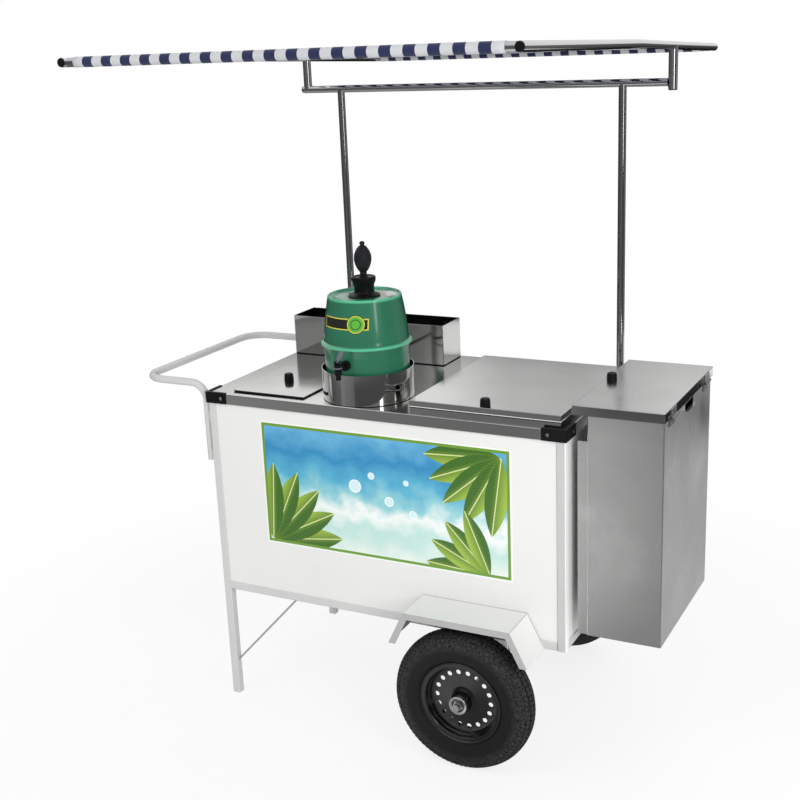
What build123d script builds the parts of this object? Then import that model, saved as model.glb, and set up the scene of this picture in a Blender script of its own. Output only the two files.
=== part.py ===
from build123d import *
import math
import os

# Street cart for chilled coconut water. Millimetres, floor at Z = 0, origin on the floor
# below the middle of the worktop, +X towards the waste bin, +Y towards the vendor.

# Worktop and body
worktop_length = 1086
worktop_depth = 616
worktop_height = 960
worktop_sheet = 1.5
worktop_lip = 30
sheet_round = 2
worktop_round = 3.2
lip_gap = 0.3
frame_tube = 25
frame_wall = 1.5
frame_round = 4
foot_plate = 3
body_bottom = 349
panel_sheet = 1.2
panel_recess = 3
print_width = 765
print_height = 369
print_middle_x = 11.5
print_top_gap = 41
print_sheet = 0.8

# Black corner protectors on the worktop's lip
protector_wall = 2.5
protector_front_leg = 65
protector_side_leg = 70
protector_flange = 6
protector_drop = 0.2
protector_round = 3.5
rivet_radius = 4.5
rivet_height = 1.8
rivet_edge = 0.7
rivet_inset = 48
rivet_side_inset = 50

# Flush storage lid at the left
storage_lid_left_inset = 73
storage_lid_width = 233
storage_lid_front_inset = 31
storage_lid_depth = 289
storage_lid_sheet = 1.2
storage_rim = 18
storage_flange = 12
storage_tray_depth = 140
storage_sheet = 1.0
gasket_height = 3
gasket_inset = 0.5
gasket_width = 12
storage_knob_left = 18
storage_knob_forward = 3

# Ice tub with a raised coaming, and its hinged lid
ice_keg_gap = 56
ice_lid_right_inset = 17
ice_lid_front_inset = 13
ice_lid_rear_inset = 99
ice_lid_height = 17
ice_lid_sheet = 1.2
ice_lid_overhang = 0.5
ice_coaming_height = 17.5
ice_coaming_width = 22.5
ice_coaming_bevel = 1.2
ice_tub_depth = 430
ice_tub_sheet = 1.2
ice_insulation = 10
ice_insulation_floor = 25
ice_insulation_top_gap = 30
ice_knob_inset = 18
ice_hinge_inset = 80

# Cup box, an open stainless trough at the back
cup_box_left_inset = 7
cup_box_length = 520
cup_box_rear_inset = 13
cup_box_depth = 123
cup_box_height = 123
cup_box_sheet = 1.2

# Keg with tap, stopper and squeeze bulb, standing in a ring collar
keg_storage_gap = 26
keg_front_inset = 4
keg_foot_radius = 114
keg_waist_radius = 118.8
keg_ridge_radius = 128.3
keg_ridge_height = 158
keg_ridge_half = 6
keg_shoulder_radius = 118
keg_belly_radius = 110.5
keg_belly_height = 228
keg_rim_radius = 101.5
keg_rim_height = 288
keg_rim_width = 6
keg_top_recess = 7
keg_wall = 5
keg_mouth_radius = 30
liner_wall = 2.5
liner_gap = 8
stopper_flange_radius = 44
stopper_flange_height = 9
stopper_bevel_radius = 31.5
stopper_plug_depth = 30
stopper_body_radius = 27.5
stopper_body_height = 36
stopper_cap_radius = 33
stopper_cap_height = 10
bulb_radius = 24
bulb_length = 96
bulb_neck_radius = 9
bulb_neck_height = 11.5
bulb_belly_height = 48
bulb_shoulder_height = 83.5
bulb_tip_radius = 6
collar_radius = 128
collar_wall = 1.2
collar_height = 87
tap_height = 114
tap_reach = 45
tap_shank_radius = 6
tap_nut_radius = 14
tap_nut_length = 11
tap_body_radius = 10
tap_body_top = 15
tap_spout_radius = 7
tap_spout_drop = 29
lever_length = 34
lever_width = 14
lever_neck = 5
lever_arm_width = 6.4
lever_thickness = 4
lever_tilt = 45
lever_pin_radius = 2.5
ear_wall = 1
ear_inset = 2
ear_half_depth = 6

# Stainless waste bin hung on the right end
bin_gap = 41.5
bin_width = 197.2
bin_depth = 454
bin_front_inset = 40
bin_bottom_rise = 43
bin_sheet = 1.2
bin_round = 3
bin_lid_height = 25
bin_lid_rise = 61
bin_lid_sheet = 1.2
bin_lid_over_left = 35.9
bin_lid_over_right = 3.5
bin_lid_over_front = 13
bin_lid_over_rear = 9
bin_knob_inset = 23
bin_knob_back = 12
bin_bar_height = 30
bin_bar_length = 320
bin_bar_drop = 60
bin_angle_width = 26
bin_angle_depth = 24
bin_angle_inset = 4
bin_angle_drop = 6
bin_slot_length = 80
bin_slot_height = 18
bin_slot_drop = 6
bin_slot_lip = 9
bin_hinge_inset = 62

# Butt hinges of the two lids
hinge_length = 50
hinge_plate = 2
hinge_knuckle_radius = 3.5
hinge_pin_radius = 1.75
hinge_gap = 0.3
hinge_web_gap = 0.6
ice_hinge_leaf = 14
bin_hinge_leaf = 22

# Lid knobs
knob_radius = 13.6
knob_foot_radius = 14
knob_top_radius = 12.2
knob_height = 21
knob_edge = 1.5

# Wheels, axle and fenders
wheel_inset = 263
wheel_radius = 199
wheel_gap = 31
tyre_width = 88
tyre_wall = 8
tread_width = 70
tread_wall = 12
tread_crown = 9
rim_radius = 103
rim_flange_radius = 118
rim_sheet = 2
bead_half_width = 31
bead_width = 14
bead_gap = 0.3
rim_hole_count = 18
rim_disc_offset = 6
rim_hole_circle = 79
rim_hole_radius = 6.5
hub_radius = 26
hub_outer = 38
hub_inner = 30
bearing_radius = 20
bearing_width = 12
axle_radius = 10
axle_clearance = 0.05
seat_gap = 0.02
axle_collar_radius = 16
axle_collar_width = 6
washer_radius = 25.6
washer_thickness = 4
nut_radius = 15
nut_height = 11
axle_stub = 9
split_pin_radius = 1.5
split_pin_length = 30
hanger_width = 60
hanger_spread = 150
hanger_thickness = 8
hanger_below = 22
fender_gap = 45
fender_top_length = 306
fender_foot_length = 400
fender_overlap = 1
fender_reach = 125
fender_sheet = 2
fender_lip = 18

# Leg braces and push handle
brace_radius = 2.8
brace_low = 111
brace_run = 224
handle_tube = 22
handle_wall = 1.5
handle_rise = 19
handle_stand_out = 238.5
handle_inset = 18
handle_leg_length = 228
handle_corner = 70
handle_bend = 50
handle_tab_width = 16
handle_tab_height = 30

# Canopy: two poles, a cross rail in two halves, side tubes, front and rear tubes, cloth
pole_left_inset = 133
pole_right_inset = 60
tube_radius = 11
tube_wall = 1.2
socket_wall = 3.4
socket_clearance = 0.1
socket_floor = 4
socket_gap = 5
socket_height = 235
socket_plate = 44
socket_stand = 8
thumbscrew_radius = 3
thumbscrew_length = 24
thumbscrew_head = 9
thumbscrew_drop = 40
tip_gap = 0.15
rail_height = 1769
rail_joint_reach = 452
spigot_length = 40
rail_left_overhang = 117
rail_left_end = 15
rail_right_overhang = 140
side_half_length = 778
side_front_rise = 122
side_middle_rise = 107
side_rear_rise = 79
side_bend = 400
post_radius = 12.5
post_drop = 18
cross_tube_inset = 13
weld_gap = 0.2
plug_head = 3
plug_depth = 12
plug_edge = 1.0
cloth_inset = 22
cloth_thickness = 0.9
cloth_gap = 0.3
cloth_sag = 16

# Shared places worked out from the sizes above
half_length = worktop_length / 2
half_depth = worktop_depth / 2
half_x = half_length - worktop_sheet - lip_gap
half_y = half_depth - worktop_sheet - lip_gap
frame_top = worktop_height - worktop_sheet
floor_level = body_bottom + frame_tube
panel_top = frame_top - frame_tube
lip_bottom = worktop_height - worktop_lip
panel_y = half_y - panel_recess
panel_x = half_x - panel_recess
post_middle_y = half_y - frame_tube / 2
storage_lid_left = -half_length + storage_lid_left_inset
storage_lid_front = -half_depth + storage_lid_front_inset
storage_lid_right = storage_lid_left + storage_lid_width
storage_lid_rear = storage_lid_front + storage_lid_depth
keg_x = storage_lid_right + keg_storage_gap + collar_radius
keg_y = -half_depth + keg_front_inset + collar_radius
keg_base = worktop_height
ice_lid_left = keg_x + collar_radius + ice_keg_gap
ice_lid_right = half_length - ice_lid_right_inset
ice_lid_front = -half_depth + ice_lid_front_inset
ice_lid_rear = half_depth - ice_lid_rear_inset
ice_lid_bottom = worktop_height + ice_coaming_height
ice_coaming_rear = ice_lid_rear - ice_lid_overhang
bin_left = half_length + bin_gap
bin_right = bin_left + bin_width
bin_front = -half_depth + bin_front_inset
bin_rear = bin_front + bin_depth
bin_bottom = body_bottom + bin_bottom_rise
bin_lid_top = worktop_height + bin_lid_rise
bin_lid_bottom = bin_lid_top - bin_lid_height
wheel_x = half_length - wheel_inset
wheel_y = half_y + wheel_gap + tyre_width / 2
fender_top = wheel_radius * 2 + fender_gap
fender_foot = body_bottom - fender_overlap
handle_height = worktop_height + handle_rise
handle_reach = half_length + handle_stand_out
handle_y = half_depth - handle_inset
handle_leg_bottom = handle_height - handle_leg_length
socket_top = lip_bottom - socket_gap
socket_bottom = socket_top - socket_height
pole_left_x = -half_length + pole_left_inset
pole_right_x = half_length - pole_right_inset
rail_joint_x = pole_left_x + rail_joint_reach
side_left_x = pole_left_x - rail_left_overhang
side_right_x = pole_right_x + rail_right_overhang
side_front_height = rail_height + side_front_rise
side_middle_height = rail_height + side_middle_rise
side_rear_height = rail_height + side_rear_rise
fender_y = half_y + fender_reach
pole_y = half_y - panel_recess + socket_stand + socket_wall + tube_radius + socket_clearance
nodes = {}


def span(a, b):
    return (min(a, b), max(a, b))


def grow(pair, amount):
    return (pair[0] - amount, pair[1] + amount)


def block(x, y, z):
    # Box between two corners, each axis given as a low and high value
    middle = [(pair[0] + pair[1]) / 2 for pair in (x, y, z)]
    return Pos(*middle) * Box(x[1] - x[0], y[1] - y[0], z[1] - z[0])


def rod(start, end, radius):
    way = Vector(*end) - Vector(*start)
    place = Plane(origin=start, z_dir=way)
    return extrude(place * Circle(radius), amount=way.length)


def pipe(start, end, radius, wall):
    return rod(start, end, radius) - rod(start, end, radius - wall)


def rounded(x, y, z, axis, radius):
    # Box with its four edges along one axis rounded
    shape = block(x, y, z)
    return fillet(shape.edges().filter_by(axis), radius)


def folded_pan(x, y, z, radius):
    # Box with its upright corners and its top edges rounded, as on folded sheet
    shape = block(x, y, z)
    return fillet(shape.edges().filter_by(Axis.Z) + shape.edges().group_by(Axis.Z)[-1], radius)


def square_tube(x, y, z, axis):
    # Hollow square tube with round corners that fills a box and is open along one axis
    along = (Axis.X, Axis.Y, Axis.Z).index(axis)
    inner = [grow(pair, -frame_wall) for pair in (x, y, z)]
    inner[along] = (x, y, z)[along]
    return rounded(x, y, z, axis, frame_round) - rounded(*inner, axis, frame_round - frame_wall)


def turned(outline):
    # Solid of revolution about Z from a closed outline in the XZ plane
    return revolve(Plane.XZ * make_face(outline), Axis.Z)


def group(*solids):
    return Part() + list(solids)


# Frame: two legs that run to the floor, two right posts, rails between them
front_row = (-half_y, -half_y + frame_tube)
rear_row = (half_y - frame_tube, half_y)
left_row = (-half_x, -half_x + frame_tube)
right_row = (half_x - frame_tube, half_x)
between_x = (-half_x + frame_tube, half_x - frame_tube)
between_y = (-half_y + frame_tube, half_y - frame_tube)


def leg(y):
    bore_x = grow(left_row, -frame_wall)
    bore_y = grow(y, -frame_wall)
    bore = rounded(bore_x, bore_y, (foot_plate, frame_top), Axis.Z, frame_round - frame_wall)
    return rounded(left_row, y, (0, frame_top), Axis.Z, frame_round) - bore


nodes["leg_front_left"] = leg(front_row)
nodes["leg_rear_left"] = leg(rear_row)
post_level = (body_bottom, frame_top)
right_posts = [square_tube(right_row, row, post_level, Axis.Z) for row in (front_row, rear_row)]
nodes["right_posts"] = group(*right_posts)


def rails(low):
    level = (low, low + frame_tube)
    long_rails = [square_tube(between_x, row, level, Axis.X) for row in (front_row, rear_row)]
    end_rails = [square_tube(row, between_y, level, Axis.Y) for row in (left_row, right_row)]
    return group(*long_rails, *end_rails)


axle_rail_x = grow((wheel_x, wheel_x), frame_tube / 2)
axle_rail = square_tube(axle_rail_x, grow(between_y, -weld_gap), (body_bottom, floor_level), Axis.Y)
nodes["bottom_frame"] = rails(body_bottom) + axle_rail
nodes["top_frame"] = rails(panel_top)

# Body panels set between the tubes
wall_level = (floor_level, panel_top)
nodes["front_panel"] = block(between_x, (-panel_y, -panel_y + panel_sheet), wall_level)
nodes["rear_panel"] = block(between_x, (panel_y - panel_sheet, panel_y), wall_level)
left_panel = block((-panel_x, -panel_x + panel_sheet), between_y, wall_level)
right_panel = block((panel_x - panel_sheet, panel_x), between_y, wall_level)
nodes["end_panels"] = group(left_panel, right_panel)
floor_y = (-panel_y + panel_sheet, panel_y - panel_sheet)
nodes["floor_panel"] = block(between_x, floor_y, (floor_level, floor_level + panel_sheet))
print_x = (print_middle_x - print_width / 2, print_middle_x + print_width / 2)
print_z = (panel_top - print_top_gap - print_height, panel_top - print_top_gap)
nodes["print_panel"] = block(print_x, (-panel_y - print_sheet, -panel_y), print_z)

# Storage compartment: tray hung in the worktop, lid on a black gasket
storage_x = (storage_lid_left, storage_lid_right)
storage_y = (storage_lid_front, storage_lid_rear)
tray_x = grow(storage_x, -storage_rim)
tray_y = grow(storage_y, -storage_rim)
tray_top = worktop_height + storage_sheet
tray_z = (tray_top - storage_tray_depth, tray_top)
tray_hole = grow(tray_x, storage_sheet + lip_gap), grow(tray_y, storage_sheet + lip_gap)
tray_shell = block(grow(tray_x, storage_sheet), grow(tray_y, storage_sheet), tray_z)
tray_flange = block(grow(tray_x, storage_flange), grow(tray_y, storage_flange), (worktop_height, tray_top))
tray_inside = block(tray_x, tray_y, (tray_z[0] + storage_sheet, tray_top))
nodes["storage_tray"] = tray_shell + tray_flange - tray_inside
gasket_z = (tray_top, tray_top + gasket_height)
gasket_outer = grow(storage_x, -gasket_inset), grow(storage_y, -gasket_inset)
gasket_inner = [grow(pair, -gasket_width) for pair in gasket_outer]
nodes["storage_lid_gasket"] = block(*gasket_outer, gasket_z) - block(*gasket_inner, gasket_z)
storage_lid_top = gasket_z[1] + storage_lid_sheet
nodes["storage_lid"] = block(storage_x, storage_y, (gasket_z[1], storage_lid_top))


# Round black knobs of the three lids
def knob(x, y, z):
    rim = (knob_top_radius, knob_height - knob_edge)
    crown = (knob_top_radius - knob_edge, knob_height)
    foot = Line((0, 0), (knob_foot_radius, 0))
    side = ThreePointArc((knob_foot_radius, 0), (knob_radius, knob_height / 2), rim)
    edge = Line(rim, crown)
    top = Line(crown, (0, knob_height))
    back = Line((0, knob_height), (0, 0))
    return Pos(x, y, z) * turned([foot, side, edge, top, back])


storage_knob_x = (storage_lid_left + storage_lid_right) / 2 - storage_knob_left
storage_knob_y = (storage_lid_front + storage_lid_rear) / 2 - storage_knob_forward
nodes["storage_lid_knob"] = knob(storage_knob_x, storage_knob_y, storage_lid_top)

# Ice tub with its coaming, insulation jacket and lid
ice_x = (ice_lid_left, ice_lid_right)
ice_y = (ice_lid_front, ice_lid_rear)
coaming_x = grow(ice_x, -ice_lid_overhang)
coaming_y = grow(ice_y, -ice_lid_overhang)
tub_x = grow(coaming_x, -ice_coaming_width)
tub_y = grow(coaming_y, -ice_coaming_width)
tub_floor = worktop_height - ice_tub_depth
tub_hole = grow(tub_x, ice_tub_sheet + lip_gap), grow(tub_y, ice_tub_sheet + lip_gap)
coaming_block = rounded(coaming_x, coaming_y, (worktop_height, ice_lid_bottom), Axis.Z, sheet_round)
coaming = chamfer(coaming_block.edges().group_by(Axis.Z)[-1], ice_coaming_bevel)
tub_shell = block(grow(tub_x, ice_tub_sheet), grow(tub_y, ice_tub_sheet), (tub_floor, ice_lid_bottom))
tub_inside = block(tub_x, tub_y, (tub_floor + ice_tub_sheet, ice_lid_bottom))
nodes["ice_tub"] = coaming + tub_shell - tub_inside
jacket_inner = grow(tub_x, ice_tub_sheet + lip_gap), grow(tub_y, ice_tub_sheet + lip_gap)
jacket_outer = [grow(pair, ice_insulation) for pair in jacket_inner]
jacket_top = worktop_height - ice_insulation_top_gap
jacket = block(*jacket_outer, (tub_floor - ice_insulation_floor, jacket_top))
nodes["ice_tub_insulation"] = jacket - block(*jacket_inner, (tub_floor, jacket_top))
ice_lid_top = ice_lid_bottom + ice_lid_height
pan_x = grow(ice_x, -ice_lid_sheet)
pan_y = grow(ice_y, -ice_lid_sheet)
pan_z = (ice_lid_bottom, ice_lid_top - ice_lid_sheet)
lid_shell = folded_pan(ice_x, ice_y, (ice_lid_bottom, ice_lid_top), sheet_round)
nodes["ice_lid"] = lid_shell - block(pan_x, pan_y, pan_z)
nodes["ice_lid_core"] = block(grow(pan_x, -lip_gap), grow(pan_y, -lip_gap), pan_z)
ice_knob_x = (ice_lid_left + ice_lid_right) / 2
nodes["ice_lid_knob"] = knob(ice_knob_x, ice_lid_front + ice_knob_inset, ice_lid_top)

# Worktop sheet with a folded lip and its two cut-outs
sheet_x = (-half_length, half_length)
sheet_y = (-half_depth, half_depth)
sheet_outer = folded_pan(sheet_x, sheet_y, (lip_bottom, worktop_height), worktop_round)
sheet_inner = block(grow(sheet_x, -worktop_sheet), grow(sheet_y, -worktop_sheet), (lip_bottom, frame_top))
tray_cut = block(*tray_hole, (frame_top, worktop_height))
tub_cut = block(*tub_hole, (frame_top, worktop_height))
nodes["worktop"] = sheet_outer - sheet_inner - tray_cut - tub_cut


# Corner protectors and their rivets
def protector(side, end):
    x = side * half_length
    y = end * half_depth
    out_x = x + side * protector_wall
    out_y = y + end * protector_wall
    level = (lip_bottom - protector_drop, worktop_height + protector_wall)
    cap = (worktop_height, worktop_height + protector_wall)
    front_leg = block(span(out_x, x - side * protector_front_leg), span(y, out_y), level)
    side_leg = block(span(x, out_x), span(out_y, y - end * protector_side_leg), level)
    front_cap = block(span(x, x - side * protector_front_leg), span(y, y - end * protector_flange), cap)
    side_cap = block(span(x, x - side * protector_flange), span(y, y - end * protector_side_leg), cap)
    shape = front_leg + side_leg + front_cap + side_cap
    corner = Vector(out_x, out_y, worktop_height)
    uprights = shape.edges().filter_by(Axis.Z)
    outer_edge = uprights.sort_by(lambda edge: (Vector(edge.center()) - corner).length)[0]
    return fillet(outer_edge, protector_round)


def rivet(start, way):
    base = Plane(origin=start, z_dir=way)
    shank = extrude(base * Circle(rivet_radius), amount=rivet_edge)
    cap = Plane(origin=Vector(*start) + Vector(*way) * rivet_edge, z_dir=way)
    return shank + extrude(cap * Circle(rivet_radius), amount=rivet_height - rivet_edge, taper=45)


corners = [(side, end) for side in (-1, 1) for end in (-1, 1)]
nodes["corner_protectors"] = group(*[protector(side, end) for side, end in corners])
rivet_z = worktop_height - worktop_lip / 2
rivets = []
for side, end in corners:
    front_spot = (side * (half_length - rivet_inset), end * (half_depth + protector_wall), rivet_z)
    side_y = end * (half_depth - rivet_side_inset)
    side_spot = (side * (half_length + protector_wall), side_y, rivet_z)
    rivets.append(rivet(front_spot, (0, end, 0)))
    rivets.append(rivet(side_spot, (side, 0, 0)))
nodes["corner_rivets"] = group(*rivets)

# Cup box
cup_box_left = -half_length + cup_box_left_inset
cup_box_rear = half_depth - cup_box_rear_inset
cup_x = (cup_box_left, cup_box_left + cup_box_length)
cup_y = (cup_box_rear - cup_box_depth, cup_box_rear)
cup_z = (worktop_height, worktop_height + cup_box_height)
cup_floor = cup_z[0] + cup_box_sheet
cup_inner = grow(cup_x, -cup_box_sheet), grow(cup_y, -cup_box_sheet), (cup_floor, cup_z[1])
cup_inside = rounded(*cup_inner, Axis.Z, sheet_round - cup_box_sheet)
nodes["cup_box"] = rounded(cup_x, cup_y, cup_z, Axis.Z, sheet_round) - cup_inside

# Keg: collar, shell, liner, stopper with squeeze bulb, tap with lever
keg_place = Pos(keg_x, keg_y, keg_base)
collar_ring = Cylinder(collar_radius, collar_height) - Cylinder(collar_radius - collar_wall, collar_height)
nodes["keg_collar"] = keg_place * Pos(0, 0, collar_height / 2) * collar_ring
keg_top = keg_rim_height - keg_top_recess
ridge_low = keg_ridge_height - keg_ridge_half
ridge_high = keg_ridge_height + keg_ridge_half


def keg_side(inset, foot, top):
    # Wall line from the foot to the rim, moved inwards by a wall thickness
    waist = (keg_waist_radius - inset, ridge_low)
    shoulder = (keg_shoulder_radius - inset, ridge_high)
    belly = (keg_belly_radius - inset, keg_belly_height)
    rim = (keg_rim_radius - inset, top)
    lower = Line((keg_foot_radius - inset, foot), waist)
    return lower, waist, shoulder, ThreePointArc(shoulder, belly, rim), rim


lower, waist, shoulder, upper, rim = keg_side(0, 0, keg_rim_height)
ridge = ThreePointArc(waist, (keg_ridge_radius, keg_ridge_height), shoulder)
rim_top = Line(rim, (keg_rim_radius - keg_rim_width, keg_rim_height))
rim_in = Line((keg_rim_radius - keg_rim_width, keg_rim_height), (keg_rim_radius - keg_rim_width, keg_top))
keg_lid = Line((keg_rim_radius - keg_rim_width, keg_top), (0, keg_top))
keg_back = Line((0, keg_top), (0, 0))
keg_floor = Line((0, 0), (keg_foot_radius, 0))
keg_outer = turned([keg_floor, lower, ridge, upper, rim_top, rim_in, keg_lid, keg_back])


def cavity(inset, foot, top):
    lower, waist, shoulder, upper, rim = keg_side(inset, foot, top)
    step = Line(waist, shoulder)
    lid = Line(rim, (0, top))
    back = Line((0, top), (0, foot))
    floor = Line((0, foot), (keg_foot_radius - inset, foot))
    return turned([floor, lower, step, upper, lid, back])


def stack(low, high, radius):
    return rod((0, 0, low), (0, 0, high), radius)


tap_hole = rod((0, 0, tap_height), (0, -keg_ridge_radius, tap_height), tap_shank_radius + axle_clearance)
mouth = stack(keg_top - keg_wall, keg_top, keg_mouth_radius)
shell_inside = cavity(keg_wall, keg_wall, keg_top - keg_wall)
nodes["keg_shell"] = keg_place * (keg_outer - shell_inside - mouth - tap_hole)
liner_inset = keg_wall + liner_gap
liner_top = keg_top - keg_wall - liner_gap
neck_radius = keg_mouth_radius - lip_gap
liner_neck = stack(liner_top - liner_wall, keg_top, neck_radius)
liner_outer = cavity(liner_inset, liner_inset, liner_top) + liner_neck
liner_cavity = cavity(liner_inset + liner_wall, liner_inset + liner_wall, liner_top - liner_wall)
liner_mouth = stack(liner_top - liner_wall * 2, keg_top, neck_radius - liner_wall)
nodes["keg_liner"] = keg_place * (liner_outer - liner_cavity - liner_mouth - tap_hole)
plug = stack(keg_top - stopper_plug_depth, keg_top, neck_radius - liner_wall - lip_gap)
flange_top = keg_top + stopper_flange_height
body_top = flange_top + stopper_body_height
cap_top = body_top + stopper_cap_height
flange_middle = keg_top + stopper_flange_height / 2
flange = Pos(0, 0, flange_middle) * Cone(stopper_flange_radius, stopper_bevel_radius, stopper_flange_height)
stopper_body = stack(flange_top, body_top, stopper_body_radius)
stopper_cap = stack(body_top, cap_top, stopper_cap_radius)
nodes["keg_stopper"] = keg_place * (plug + flange + stopper_body + stopper_cap)
bulb_foot = Line((0, 0), (bulb_neck_radius, 0))
bulb_bottom = (bulb_neck_radius, bulb_neck_height)
bulb_top = (bulb_neck_radius, bulb_shoulder_height)
bulb_neck = Line((bulb_neck_radius, 0), bulb_bottom)
bulb_side = ThreePointArc(bulb_bottom, (bulb_radius, bulb_belly_height), bulb_top)
bulb_step = Line(bulb_top, (bulb_tip_radius, bulb_shoulder_height))
bulb_tip = Line((bulb_tip_radius, bulb_shoulder_height), (bulb_tip_radius, bulb_length))
bulb_end = Line((bulb_tip_radius, bulb_length), (0, bulb_length))
bulb_back = Line((0, bulb_length), (0, 0))
bulb = turned([bulb_foot, bulb_neck, bulb_side, bulb_step, bulb_tip, bulb_end, bulb_back])
nodes["pump_bulb"] = keg_place * Pos(0, 0, cap_top) * bulb

# Tap: shank through the keg's wall, nut, upright body, and a lever between two ears
tap_wall = keg_waist_radius
tap_y = -(tap_wall + tap_reach)
lever_slot = lever_arm_width / 2 + lip_gap
ear_top = tap_height + tap_body_top + (lever_pin_radius + ear_wall) * 2
pivot_z = tap_height + tap_body_top + lever_pin_radius + ear_wall
shank_inner = -keg_foot_radius + liner_inset + liner_wall * 2
shank = rod((0, shank_inner, tap_height), (0, tap_y, tap_height), tap_shank_radius)
nut_face = -tap_wall - lip_gap
nut = rod((0, nut_face, tap_height), (0, nut_face - tap_nut_length, tap_height), tap_nut_radius)
tap_top = tap_height + tap_body_top
upright = Pos(0, tap_y, 0) * stack(tap_height - tap_spout_drop / 2, tap_top, tap_body_radius)
spout = Pos(0, tap_y, 0) * stack(tap_height - tap_spout_drop, tap_height, tap_spout_radius)
ear_x = (-tap_body_radius + ear_inset, tap_body_radius - ear_inset)
ears = block(ear_x, grow((tap_y, tap_y), ear_half_depth), (tap_top, ear_top))
slot = block((-lever_slot, lever_slot), grow((tap_y, tap_y), tap_body_radius), (tap_top, ear_top))
pin_hole = rod((ear_x[0], tap_y, pivot_z), (ear_x[1], tap_y, pivot_z), lever_pin_radius + axle_clearance)
nodes["tap_body"] = keg_place * (shank + nut + upright + spout + ears - slot - pin_hole)
lever_root = ear_top - pivot_z + lever_neck
arm_x = (-lever_arm_width / 2, lever_arm_width / 2)
lever_y = (-lever_thickness / 2, lever_thickness / 2)
arm = block(arm_x, lever_y, (0, lever_root))
paddle = block((-lever_width / 2, lever_width / 2), lever_y, (lever_root, lever_length))
trunnion = rod((ear_x[0], 0, 0), (ear_x[1], 0, 0), lever_pin_radius)
lever = Pos(0, tap_y, pivot_z) * (Rot(-lever_tilt, 0, 0) * (arm + paddle) + trunnion)
nodes["tap_lever"] = keg_place * lever

# Waste bin with a lid hinged along its right wall
bin_x = (bin_left, bin_right)
bin_y = (bin_front, bin_rear)
bin_rim = bin_lid_top - bin_lid_sheet
bin_inner = grow(bin_x, -bin_sheet), grow(bin_y, -bin_sheet), (bin_bottom + bin_sheet, bin_rim)
bin_inside = rounded(*bin_inner, Axis.Z, bin_round - bin_sheet)
bin_middle_y = (bin_front + bin_rear) / 2
hand_slot_y = grow((bin_middle_y, bin_middle_y), bin_slot_length / 2)
hand_slot_top = bin_lid_bottom - bin_slot_drop
hand_slot_z = (hand_slot_top - bin_slot_height, hand_slot_top)
hand_slot = block((bin_right - bin_sheet, bin_right), hand_slot_y, hand_slot_z)
slot_lip_z = (hand_slot_z[0] - bin_sheet, hand_slot_z[0])
slot_lip = block((bin_right + weld_gap, bin_right + bin_slot_lip), hand_slot_y, slot_lip_z)
bin_shell = rounded(bin_x, bin_y, (bin_bottom, bin_rim), Axis.Z, bin_round) - bin_inside - hand_slot
bar_y = grow((bin_middle_y, bin_middle_y), bin_bar_length / 2)
upper_bar_top = lip_bottom - bin_bar_height
lower_bar_top = bin_bottom + bin_bar_drop + bin_bar_height
for bar_top in (upper_bar_top, lower_bar_top):
    bin_shell += block((panel_x, bin_left), bar_y, (bar_top - bin_bar_height, bar_top))
angle_x = (bin_left - bin_angle_width, bin_left)
angle_z = (bin_bottom, lip_bottom - bin_angle_drop)
for outer_y, inward in ((bin_front + bin_angle_inset, 1), (bin_rear - bin_angle_inset, -1)):
    # Upright steel angle that closes the gap beside the bin
    bin_shell += block(angle_x, span(outer_y, outer_y + inward * bin_sheet), angle_z)
    edge_x = (angle_x[0], angle_x[0] + bin_sheet)
    bin_shell += block(edge_x, span(outer_y, outer_y + inward * bin_angle_depth), angle_z)
nodes["bin_body"] = group(bin_shell, slot_lip)
bin_lid_x = (bin_left - bin_lid_over_left, bin_right + bin_lid_over_right)
bin_lid_y = (bin_front - bin_lid_over_front, bin_rear + bin_lid_over_rear)
bin_pan = block(grow(bin_lid_x, -bin_lid_sheet), grow(bin_lid_y, -bin_lid_sheet), (bin_lid_bottom, bin_rim))
nodes["bin_lid"] = folded_pan(bin_lid_x, bin_lid_y, (bin_lid_bottom, bin_lid_top), sheet_round) - bin_pan
bin_knob_x = bin_lid_x[0] + bin_knob_inset
bin_knob_y = bin_middle_y + bin_knob_back
nodes["bin_lid_knob"] = knob(bin_knob_x, bin_knob_y, bin_lid_top)


# Butt hinge: pin along X, lower leaf on the plane Y = 0, upper leaf set out by a step
def hinge(step, leaf):
    reach = step + hinge_knuckle_radius + hinge_gap
    third = hinge_length / 3
    half = hinge_length / 2
    base = block((-half, half), (0, hinge_plate), (-leaf, -hinge_knuckle_radius))
    flap = block((-half, half), (step, step + hinge_plate), (hinge_web_gap, leaf))
    clear = hinge_knuckle_radius + hinge_web_gap
    for low in (-half, third / 2):
        ends = (low, low + third - hinge_gap) if low < 0 else (low + hinge_gap, half)
        web = block(ends, (0, reach), (-hinge_knuckle_radius, -hinge_web_gap))
        base += web + rod((ends[0], reach, 0), (ends[1], reach, 0), hinge_knuckle_radius)
        flap -= block(grow(ends, hinge_gap), (step, step + hinge_plate), (0, clear))
    base -= block((-third / 2, third / 2), (0, reach), (-clear, 0))
    flap += rod((-third / 2 + hinge_gap, reach, 0), (third / 2 - hinge_gap, reach, 0), hinge_knuckle_radius)
    bore = rod((-half, reach, 0), (half, reach, 0), hinge_pin_radius + axle_clearance)
    pin = rod((-half, reach, 0), (half, reach, 0), hinge_pin_radius)
    return base - bore, flap - bore, pin


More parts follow.
